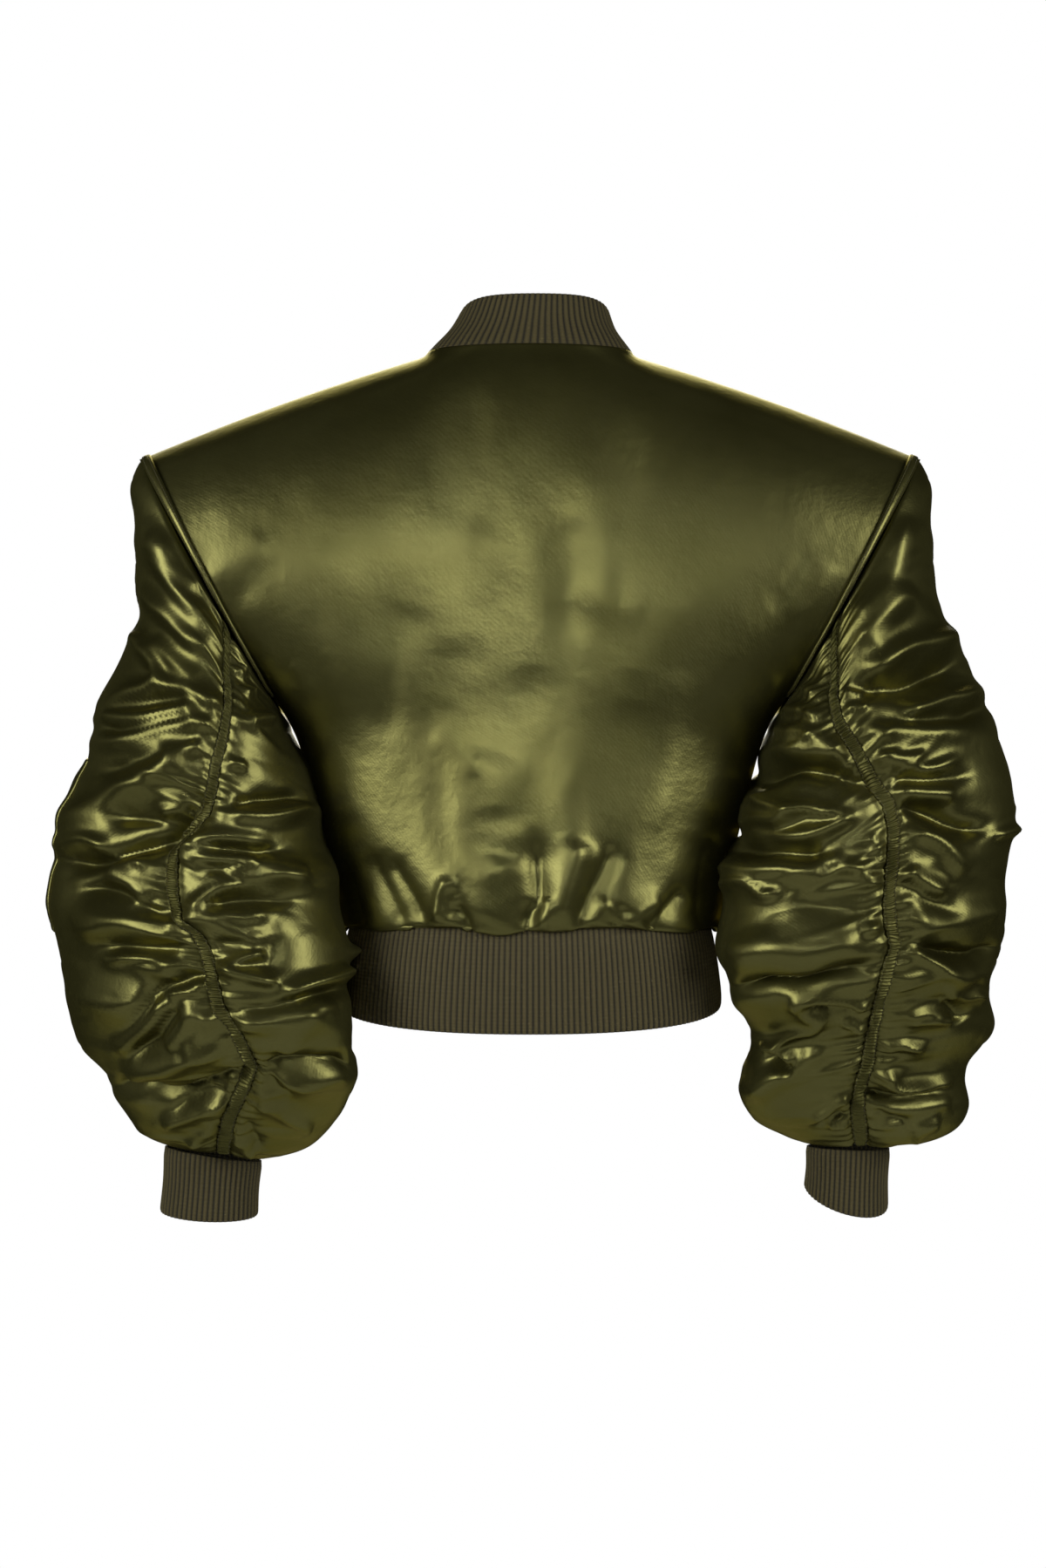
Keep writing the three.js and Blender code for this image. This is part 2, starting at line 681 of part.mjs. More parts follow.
// Gathered tape over the back seam: short raised pleats with their feet on the panels.
function gatheredTape(sleeve) {
  const seam = outerColumnCount - 1;
  const columns = [seam - 1, seam, seam + 1];
  const pleatsPerStep = 2;
  const foot = [];
  const top = [];
  const rows = sleeve.outer.length - 1;
  for (let r = 0; r < rows; r += 1) {
    for (let k = 0; k <= pleatsPerStep; k += 1) {
      if (k === pleatsPerStep && r < rows - 1) {
        break;
      }
      const share = Math.min(0.97, Math.max(0.03, k / pleatsPerStep));
      const atEnd = (r === 0 && k === 0) || (r === rows - 1 && k === pleatsPerStep);
      const t = atEnd ? share : k / pleatsPerStep;
      const lift = k % 2 === 0 ? tapeLift : tapePleatLift;
      const line = columns.map((c) => ({
        point: sleeve.outer[r][c].clone().lerp(sleeve.outer[r + 1][c], t),
        out: sleeve.normals[r][c].clone().lerp(sleeve.normals[r + 1][c], t).normalize(),
      }));
      foot.push(line.map(({ point, out }) => point.clone().addScaledVector(out, lift)));
      top.push(line.map(({ point, out }) => point.clone().addScaledVector(out, lift + tapeWall)));
    }
  }
  return clothWall(top, foot);
}

// Points at equal distances along a closed or open line.
function evenly(line, count, closed) {
  const path = closed ? [...line, line[0]] : line;
  const lengths = [0];
  for (let i = 1; i < path.length; i += 1) {
    lengths.push(lengths[i - 1] + path[i].distanceTo(path[i - 1]));
  }
  const total = lengths[lengths.length - 1];
  const pieces = closed ? count : count - 1;
  return Array.from({ length: count }, (unused, i) => {
    const wanted = (total * i) / pieces;
    let k = 1;
    while (k < path.length - 1 && lengths[k] < wanted) {
      k += 1;
    }
    return path[k - 1].clone().lerp(path[k], (wanted - lengths[k - 1]) / (lengths[k] - lengths[k - 1]));
  });
}

const lineLength = (line) => line.slice(1).reduce((sum, point, i) => sum + point.distanceTo(line[i]), 0);

// Knit ribs round a band: every second column is raised, over a plain inside with fewer points. The
// ribs run out at the last line where it meets a seam.
function ribbedBand(lines, outs, pitch, closed, lastRibHeight = ribHeight) {
  const length = lineLength(closed ? [...lines[0], lines[0][0]] : lines[0]);
  const ribs = Math.round(length / pitch);
  const columns = closed ? ribs * 2 : ribs * 2 + 1;
  const plain = Math.round(ribs * plainPointsPerRib) + (closed ? 0 : 1);
  const outer = lines.map((line, k) => evenly(line, columns, closed).map((point, c) => {
    const raised = k === lines.length - 1 ? lastRibHeight : ribHeight;
    const raise = c % 2 === 1 ? raised : 0;
    return point.addScaledVector(outs(point), raise);
  }));
  const innerLines = [lines[0], lines[lines.length - 1]];
  const inner = innerLines.map((line) => evenly(line, plain, closed)
    .map((point) => point.addScaledVector(outs(point), -ribWall)));
  return clothWall(outer, inner, { wraps: closed });
}

// Body section at one level as a line from the left front edge round the back to the right front edge.
function sectionLine(half, back, front, level) {
  const points = [];
  const step = 4;
  const startAngle = Math.asin((zipHalfGap / half) ** (bodyRoundness / 2)) / radians;
  for (let a = startAngle; a <= 360 - startAngle + 1e-6; a += (360 - 2 * startAngle) / (360 / step)) {
    const s = Math.sin(a * radians);
    const c = -Math.cos(a * radians);
    const x = half * Math.sign(s) * Math.abs(s) ** (2 / bodyRoundness);
    const y = (c > 0 ? back : front) * Math.sign(c) * Math.abs(c) ** (2 / bodyRoundness);
    points.push(vector(x, y, level(y)));
  }
  return points;
}

const flatOut = (point) => vector(point.x, point.y, 0).normalize();

// The waistband's top edge lies inside the turned-in lower edge of the panels.
function waistband(seamLine) {
  const top = seamLine.map((point) => point.clone().addScaledVector(flatOut(point), -bandTopInset)
    .add(vector(0, 0, -seamGap)));
  const { z, halfWidth, back, front, backDip, frontDip } = waistbandBottom;
  const dip = (y) => (y > 0 ? (backDip * y) / back : (-frontDip * y) / front);
  const bottom = sectionLine(halfWidth, back, front, (y) => z - dip(y));
  return { geometry: ribbedBand([bottom, top], flatOut, ribPitch, false, 0), bottom, top };
}

function collar(neckLine) {
  const base = neckLine.map((point) => {
    const out = flatOut(point);
    return point.clone().addScaledVector(vector(-0.85 * out.x, -0.85 * out.y, 0.5).normalize(), seamGap);
  });
  const topOf = (point) => {
    const angle = Math.atan2(point.x / neckHalf, -point.y / (point.y > 0 ? neckBack : neckFront));
    const depth = point.y > 0 ? collarTop.back : collarTop.front;
    const y = -Math.cos(angle) * depth;
    const share = (collarTop.back - y) / (collarTop.back + collarTop.front);
    return vector(collarTop.shift + Math.sin(angle) * collarTop.halfWidth, y,
      collarTop.backLevel - collarTop.drop * share ** collarTop.dropPower);
  };
  const top = base.map(topOf);
  const middle = base.map((point, i) => point.clone().lerp(top[i], collarMiddle.share)
    .addScaledVector(flatOut(point), -collarMiddle.inset));
  const outs = (point) => flatOut(point).multiplyScalar(0.86).add(vector(0, 0, 0.5)).normalize();
  return ribbedBand([base, middle, top], outs, collarRibPitch, false);
}

function cuff(side, sleeve) {
  const last = sleeve.outer[sleeve.outer.length - 1];
  const sign = side === 'left' ? 1 : -1;
  const length = cuffLength[side];
  const topLine = last.map((point) => point.clone().add(vector(0, 0, -cuffSeamGap)));
  const xs = last.map((point) => Math.abs(point.x));
  const nearest = Math.min(...xs);
  const farthest = Math.max(...xs);
  const bottomLine = topLine.map((point) => {
    const toOuter = (Math.abs(point.x) - nearest) / (farthest - nearest);
    return point.clone().add(vector(sign * cuffLean[side], 0, -mix(length.inner, length.outer, toOuter)));
  });
  const outs = (point) => vector(point.x - sleeve.cuffCentre.x, point.y - sleeve.cuffCentre.y, 0).normalize();
  return ribbedBand([bottomLine, topLine], outs, cuffRibPitch, true);
}

function material(colour, roughness, metalness) {
  return new THREE.MeshStandardMaterial({ color: colour, roughness, metalness, flatShading: true });
}

const satin = () => material(0x4a4828, 0.35, 0.0);
const knit = () => material(0x50482a, 0.85, 0.0);
const darkTape = () => material(0x3a3a1e, 0.5, 0.0);
const zipCloth = () => material(0x33331c, 0.8, 0.0);
const zipMetal = () => material(0x8b8c88, 0.35, 0.9);

const jacket = new THREE.Group();
function add(name, geometry, surface) {
  const mesh = new THREE.Mesh(geometry, surface);
  mesh.name = name;
  jacket.add(mesh);
  return mesh;
}

const back = backPanel();
const fronts = { left: frontPanel(1), right: frontPanel(-1) };
const sleeves = { left: sleeveGrid('left'), right: sleeveGrid('right') };
const total = sleeves.left.outer[0].length;

add('back', clothWall(back.outer, back.inner), satin());
for (const side of ['left', 'right']) {
  const sleeve = sleeves[side];
  add(`front_${side}`, clothWall(fronts[side].outer, fronts[side].inner, { leansDown: true }), satin());
  add(`sleeve_outer_${side}`, sleevePanel(sleeve, 0, outerColumnCount - 1), satin());
  add(`sleeve_inner_${side}`, sleevePanel(sleeve, outerColumnCount - 1, total), satin());
  add(`sleeve_tape_${side}`, gatheredTape(sleeve), darkTape());
  add(`cuff_${side}`, cuff(side, sleeve), knit());
}

// Topstitched bands beside the armholes, on the body side, from the underarm to the shoulder tip.
const firstArmholeRow = bodyLevels.length - 1;
const bandLift = 0.8;
const bandWall = 1.2;
const bandEdgeShare = 0.8;
const bandStartRow = firstArmholeRow + 2;
for (const side of ['left', 'right']) {
  const half = back.halves[side];
  const rows = half.grid.map((unused, r) => r).filter((r) => r >= bandStartRow);
  const columns = [columnsEachSide - 1, columnsEachSide - 1 + bandEdgeShare];
  add(`armhole_band_${side}`, stripOn(half.grid, half.normals, rows, columns, bandLift, bandLift + bandWall),
    satin());
}

// Neck seam line from the left front edge round the back to the right front edge.
const topRow = (grid) => grid[grid.length - 1];
const isNeck = (point) => Math.abs(point.x) <= neckHalf + 1e-6;
const leftFrontNeck = topRow(fronts.left.outer).filter(isNeck);
const backNeck = topRow(back.outer).filter(isNeck);
const rightFrontNeck = topRow(fronts.right.outer).filter(isNeck).reverse();
const neckLine = [...leftFrontNeck.slice(0, -1), ...backNeck, ...rightFrontNeck.slice(1)];
add('collar', collar(neckLine), knit());

const rightFrontSeam = fronts.right.outer[0].slice().reverse();
const band = waistband([...fronts.left.outer[0].slice(0, -1), ...back.outer[0], ...rightFrontSeam.slice(1)]);
add('waistband', band.geometry, knit());

// Zip tapes down both front edges, from the neck seam to the bottom of the waistband.
const zipRows = [];
const frontEdge = fronts.left.outer.map((row) => row[0]);
const frontEdgeNormals = fronts.left.normals.map((row) => row[0]);
const blousedRows = 3;
for (let r = frontEdge.length - 1; r > blousedRows; r -= 1) {
  zipRows.push({ point: frontEdge[r], out: frontEdgeNormals[r] });
}
const towardsFront = vector(0, -1, 0);
zipRows.push({ point: band.top[0], out: towardsFront });
zipRows.push({ point: band.bottom[0], out: towardsFront });
const zipTapeXs = [seamGap / 2, zipHalfGap - seamGap];
for (const side of ['left', 'right']) {
  const sign = side === 'left' ? 1 : -1;
  const layer = (inset) => zipRows.map(({ point, out }) => zipTapeXs.map((x) =>
    vector(sign * x, point.y - out.y * inset, point.z - out.z * inset)));
  add(`zip_tape_${side}`, clothWall(layer(zipTapeInset), layer(zipTapeInset + zipTapeWall)), zipCloth());
}

// Slider at the top of the zip and its pull tab, drawn flat and then set on the slope of the tape.
function solidOf(geometry) {
  const plain = geometry.clone();
  plain.deleteAttribute('normal');
  plain.deleteAttribute('uv');
  const merged = mergeVertices(plain, 1e-4);
  return new wasm.Manifold(new wasm.Mesh({
    numProp: 3,
    vertProperties: new Float32Array(merged.attributes.position.array),
    triVerts: new Uint32Array(merged.index.array),
  }));
}

function geometryOf(solid) {
  const mesh = solid.getMesh();
  const geometry = new THREE.BufferGeometry();
  geometry.setAttribute('position', new THREE.BufferAttribute(new Float32Array(mesh.vertProperties), 3));
  geometry.setIndex(new THREE.BufferAttribute(new Uint32Array(mesh.triVerts), 1));
  geometry.computeVertexNormals();
  return geometry;
}

// Local directions of the zip: x across, -y out of the cloth and z up along the tape.
const boxAt = (sizeX, sizeY, sizeZ, x, y, z) => new THREE.BoxGeometry(sizeX, sizeY, sizeZ).translate(x, y, z);

function sliderGeometry() {
  const { width, length, thickness } = sliderPlate;
  const plate = solidOf(boxAt(width, thickness, length, 0, -seamGap - thickness / 2, 0));
  const earTop = bail.barHeight + bail.barRadius + 0.6;
  const earBottom = seamGap + thickness / 2;
  const ears = [1, -1].map((sign) => solidOf(boxAt(bail.earWidth, earTop - earBottom, bail.earHalfLength * 2,
    sign * (bail.innerHalf + bail.earWidth / 2), -(earTop + earBottom) / 2, 0)));
  const bar = solidOf(new THREE.CylinderGeometry(bail.barRadius, bail.barRadius,
    bail.innerHalf * 2 + bail.earWidth, 10).rotateZ(Math.PI / 2).translate(0, -bail.barHeight, 0));
  return geometryOf(plate.add(ears[0]).add(ears[1]).add(bar));
}

function pullTabGeometry() {
  const eye = new THREE.Shape();
  eye.absarc(0, 0, pullTab.eyeRadius, 0, Math.PI * 2);
  const hole = new THREE.Path();
  hole.absarc(0, 0, pullTab.eyeHole, 0, Math.PI * 2, true);
  eye.holes.push(hole);
  const ring = new THREE.ExtrudeGeometry(eye, {
    depth: pullTab.eyeHalfWidth * 2, bevelEnabled: false, curveSegments: 8,
  });
  ring.translate(0, 0, -pullTab.eyeHalfWidth).rotateY(Math.PI / 2).translate(0, -bail.barHeight, 0);
  const top = -pullTab.eyeRadius + 0.5;
  const outline = new THREE.Shape();
  outline.moveTo(-pullTab.eyeHalfWidth, top);
  outline.lineTo(pullTab.eyeHalfWidth, top);
  outline.lineTo(pullTab.width / 2, top - 4);
  outline.lineTo(pullTab.width / 2, top - pullTab.length + pullTab.width / 2);
  outline.absarc(0, top - pullTab.length + pullTab.width / 2, pullTab.width / 2, 0, -Math.PI, true);
  outline.lineTo(-pullTab.width / 2, top - 4);
  const blade = new THREE.ExtrudeGeometry(outline, {
    depth: pullTab.thickness, bevelEnabled: false, curveSegments: 8,
  });
  blade.rotateX(Math.PI / 2).translate(0, pullTab.thickness / 2 - bail.barHeight, 0);
  return geometryOf(solidOf(ring).add(solidOf(blade)));
}

const upperTape = zipRows[1];
const lowerTape = zipRows[2];
const tapePoint = ({ point, out }) => point.clone().addScaledVector(out, -zipTapeInset).setX(0);
const upperPoint = tapePoint(upperTape);
const lowerPoint = tapePoint(lowerTape);
const sliderGroup = new THREE.Group();
sliderGroup.position.copy(upperPoint).lerp(lowerPoint, sliderPlaceOnTape);
const slope = Math.atan2(lowerPoint.y - upperPoint.y, upperPoint.z - lowerPoint.z);
sliderGroup.rotation.x = slope;
for (const [name, geometry] of [['zip_slider', sliderGeometry()], ['zip_pull', pullTabGeometry()]]) {
  const mesh = new THREE.Mesh(geometry, zipMetal());
  mesh.name = name;
  sliderGroup.add(mesh);
}
jacket.add(sliderGroup);

// Plain pocket on the outside of the wearer's left sleeve.
const pocketSleeve = sleeves[sleevePocket.side];
const pocketRows = ringSteps.map((place, r) => [place, r])
  .filter(([place]) => place >= sleevePocket.fromRing && place <= sleevePocket.toRing).map(([, r]) => r);
const pocketColumns = Array.from({ length: sleevePocket.toColumn - sleevePocket.fromColumn + 1 },
  (unused, i) => sleevePocket.fromColumn + i);
add('sleeve_pocket', stripOn(pocketSleeve.outer, pocketSleeve.normals, pocketRows, pocketColumns,
  seamGap, seamGap + sleevePocket.thickness), satin());

export default jacket;
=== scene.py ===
# A cropped, padded bomber jacket in olive satin with gathered sleeve seams and knit rib trims. Its pieces
# are laid out as they are cut and sewn, in the jacket's own frame: +Z up, the front faces -Y, and the
# wearer's left is +X. Sizes are millimetres until a mesh is made, which is in metres.
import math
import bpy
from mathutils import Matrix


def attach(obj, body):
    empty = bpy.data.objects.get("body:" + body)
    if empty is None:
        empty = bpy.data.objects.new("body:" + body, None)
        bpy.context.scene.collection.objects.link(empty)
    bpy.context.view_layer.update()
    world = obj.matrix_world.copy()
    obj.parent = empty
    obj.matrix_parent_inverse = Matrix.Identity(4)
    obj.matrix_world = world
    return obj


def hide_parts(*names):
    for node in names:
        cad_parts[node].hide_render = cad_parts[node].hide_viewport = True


bl_info = {
    "name": "Bomber jacket",
    "version": (1, 0, 0),
    "blender": (4, 5, 0),
    "location": "3D View > Sidebar > Jacket",
    "description": "Builds a padded satin bomber jacket piece by piece",
    "category": "Object",
}

import bmesh
import bpy
import numpy as np
from mathutils import Vector

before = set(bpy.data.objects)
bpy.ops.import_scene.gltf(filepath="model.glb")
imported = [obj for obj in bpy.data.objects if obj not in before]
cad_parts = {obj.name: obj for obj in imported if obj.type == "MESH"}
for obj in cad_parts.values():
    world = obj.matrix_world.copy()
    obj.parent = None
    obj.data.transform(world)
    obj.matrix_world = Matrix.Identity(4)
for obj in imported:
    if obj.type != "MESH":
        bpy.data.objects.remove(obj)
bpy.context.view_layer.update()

MM = 0.001
BODY = "jacket"

# Body
NECK_HALF = 95
NECK_BACK = 70
NECK_FRONT = 78
NECK_LEVEL = 1
NECK_DROP = 76
NECK_DROP_POWER = 3.9
SHOULDER_X = 358
SHOULDER_Z = -98
SHOULDER_ARCH = 4
UNDERARM_X = 226
UNDERARM_Z = -331
ARMHOLE_DEPTH = 90
BODY_ROUNDNESS = 2.3
SHOULDER_ROUNDNESS = 3
BAND_WIDTH = 11
ZIP_HALF_GAP = 6
COLUMNS = 16
NECK_COLUMNS = 4
FRONT_SPANS = 11
RELAX_PASSES = 160
WAIST_FOLD_DEPTH = 1.25
BACK_FOLD_DEPTH = 0.75

# Body sections from the waist seam up to the underarm: z, half width, depth of the back and the front
BODY_LEVELS = np.array([
    (-523, 166, 110, 102),
    (-531, 171, 117, 109),
    (-528.5, 176, 122, 114),
    (-513, 179, 125, 117),
    (-493, 180, 124, 117),
    (-466, 184.5, 123, 117),
    (-430, 195, 121, 116),
    (-394, 202, 119, 115),
    (-368, 208, 118, 114),
    (-348, 214.5, 117, 113),
    (-331, 226, 116, 112),
], float)

# Gathers above the waist seam of the hidden front: place as a share of the half body, height, width, reach
# upwards, lean
FRONT_GATHERS = [
    (0.1, 2.2, 0.03, 50, 0.04),
    (0.23, 4.5, 0.07, 85, 0.05),
    (0.34, 2.4, 0.025, 45, -0.05),
    (0.45, 4.0, 0.07, 60, 0.04),
    (0.56, 2.2, 0.025, 55, 0.06),
    (0.68, 4.5, 0.07, 92, -0.05),
    (0.79, 2.4, 0.025, 50, 0.04),
    (0.9, 4.0, 0.07, 70, -0.03),
]
GATHER_SINK = 1.5
GATHER_SINK_REACH = 80

# Creases of the back above the waist seam and soft swells higher up, each a line of points as seen from
# behind, then height and width. A trough is negative.
WAIST_FOLDS = [
    ([(117, -532), (130, -503), (143, -476), (148, -459)], -5.0, 12),
    ([(97, -530), (109, -503), (124, -478), (130, -466)], -4.0, 9),
    ([(84, -528), (78, -497), (71, -483)], 6.0, 8),
    ([(71, -524), (75, -503), (67, -491)], -4.0, 6),
    ([(55, -534), (65, -515), (71, -508)], -6.0, 7),
    ([(45, -522), (35, -493), (26, -459)], 3.0, 24),
    ([(5, -534), (0, -515), (-9, -503), (-7, -473), (-6, -444)], -8.0, 9),
    ([(-10, -532), (-14, -509), (-12, -501)], 5.0, 5),
    ([(-21, -530), (-31, -493), (-39, -468), (-45, -444)], 7.0, 15),
    ([(-45, -534), (-59, -498), (-72, -471), (-81, -451)], -7.0, 10),
    ([(-53, -529), (-65, -510), (-72, -504)], 4.0, 8),
    ([(-78, -532), (-85, -517), (-89, -510)], -4.0, 6),
    ([(-87, -531), (-99, -515), (-124, -503)], 4.0, 12),
    ([(-109, -532), (-126, -511), (-146, -491)], -6.0, 10),
    ([(-157, -530), (-160, -481), (-168, -444)], -5.0, 14),
    ([(157, -529), (165, -493), (175, -459)], -4.0, 10),
]
BACK_FOLDS = [
    ([(26, -473), (35, -444), (38, -415)], -2.5, 22),
    ([(110, -228), (125, -284), (134, -356)], -3.0, 20),
    ([(294, -214), (266, -188), (242, -170)], 4.0, 12),
    ([(277, -228), (246, -204), (222, -196)], -1.6, 14),
    ([(-238, -246), (-262, -220), (-282, -194)], 4.0, 12),
    ([(-218, -236), (-246, -204), (-266, -188)], -3.0, 10),
    ([(-40, -206), (-70, -226), (-112, -238)], 2.0, 18),
    ([(86, -346), (62, -362), (45, -388)], 2.0, 14),
    ([(38, -156), (62, -220), (70, -284)], 2.5, 22),
    ([(-26, -156), (-43, -196), (-34, -268)], -2.5, 20),
    ([(170, -172), (182, -252), (166, -332)], 2.5, 24),
    ([(-154, -188), (-178, -268), (-162, -356)], 2.5, 24),
    ([(226, -288), (210, -298), (216, -316)], 3.0, 10),
    ([(-98, -316), (-74, -396), (-58, -464)], -3.0, 20),
    ([(-138, -284), (-122, -364), (-110, -444)], 3.0, 22),
    ([(6, -284), (-2, -364), (14, -444)], -2.5, 24),
    ([(70, -316), (86, -396), (70, -476)], -3.0, 18),
    ([(30, -364), (34, -428), (38, -492)], 3.0, 26),
]

# How far the back's lower edge hangs over the waistband: x as seen from behind, drop
SEAM_HANG = np.array([
    (-175, -2), (-152, 2), (-145, 4), (-130, 3), (-110, 0), (-86, -4), (-80, -5), (-70, -4), (-46, -3),
    (-40, 0), (-20, 1), (4, -1), (8, 1), (20, 5), (32, 5.5), (50, 1), (57, -3), (70, -4.5), (100, -4.5),
    (117, -4), (124, 0), (138, 2.5), (150, 1), (175, -3),
], float)
SEAM_HANG_REACH = 16

# Sleeve rings from the armhole to the cuff: outer x and z, inner x and z, middle y, lobe y, depth of the
# back and of the front
SLEEVE_RINGS = {
    "left": np.array([
        (358, -98, 226, -331, 0, 0, 90, 90),
        (367, -128, 217, -351, 0, 3, 97, 96),
        (361, -185, 208, -376, 0, 18, 103, 99),
        (359, -250, 201, -403, 2, 34, 107, 100),
        (397, -321, 195, -434, 4, 44, 110, 101),
        (404, -372, 186, -468, 6, 52, 111, 102),
        (431, -436, 177, -504, 8, 60, 111, 104),
        (442, -486, 169, -540, 8, 72, 110, 104),
        (437, -530, 162, -576, 6, 82, 108, 102),
        (426, -583, 159, -612, 4, 84, 104, 98),
        (415, -632, 159, -645, -6, 74, 98, 96),
        (396, -660, 163, -672, -18, 56, 90, 92),
        (385, -686, 176, -700, -28, 34, 76, 80),
        (362, -714, 203, -731, -36, 12, 58, 62),
        (339, -731, 249, -745, -42, 0, 36, 36),
    ], float),
    "right": np.array([
        (358, -98, 226, -331, 0, 0, 90, 90),
        (369, -128, 217, -351, 0, 3, 97, 96),
        (369, -180, 208, -376, 0, 18, 103, 99),
        (371, -224, 201, -403, 2, 34, 107, 100),
        (397, -278, 195, -434, 4, 42, 110, 101),
        (424, -336, 187, -468, 6, 46, 111, 103),
        (440, -396, 181, -500, 8, 48, 111, 105),
        (444, -440, 176, -530, 8, 52, 111, 106),
        (436, -500, 172, -560, 5, 56, 110, 106),
        (437, -545, 180, -592, 0, 50, 107, 104),
        (421, -580, 203, -620, -10, 30, 100, 100),
        (427, -620, 203, -646, -20, 24, 92, 94),
        (405, -656, 197, -680, -28, 18, 82, 84),
        (399, -711, 212, -711, -36, 8, 62, 64),
        (334, -733, 257, -731, -42, 0, 36, 36),
    ], float),
}
LAST_RING = 14

# Line of the gathered seam down the back of each sleeve, as seen from behind
TAPE_LINE = {
    "left": [
        (279, -238), (278, -275), (276, -304), (278, -329), (282, -354), (289, -379), (292, -400),
        (299, -422), (320, -438), (328, -454), (330, -475), (329, -497), (324, -518), (305, -534),
        (297, -554), (292, -576), (286, -601), (272, -622), (263, -644), (256, -660), (266, -683),
        (277, -705), (282, -730),
    ],
    "right": [
        (282, -240), (277, -282), (277, -311), (283, -339), (299, -364), (314, -391), (330, -413),
        (335, -438), (333, -468), (331, -497), (331, -522), (336, -545), (330, -565), (322, -594),
        (316, -622), (311, -651), (305, -672), (301, -694), (304, -730),
    ],
}
VIEW_DISTANCE = 3500
VIEW_X = 6.4
VIEW_Z = -395.6
VIEW_HEIGHT = 1439.2
SENSOR_WIDTH = 36
TAPE_HALF_WIDTH = 6

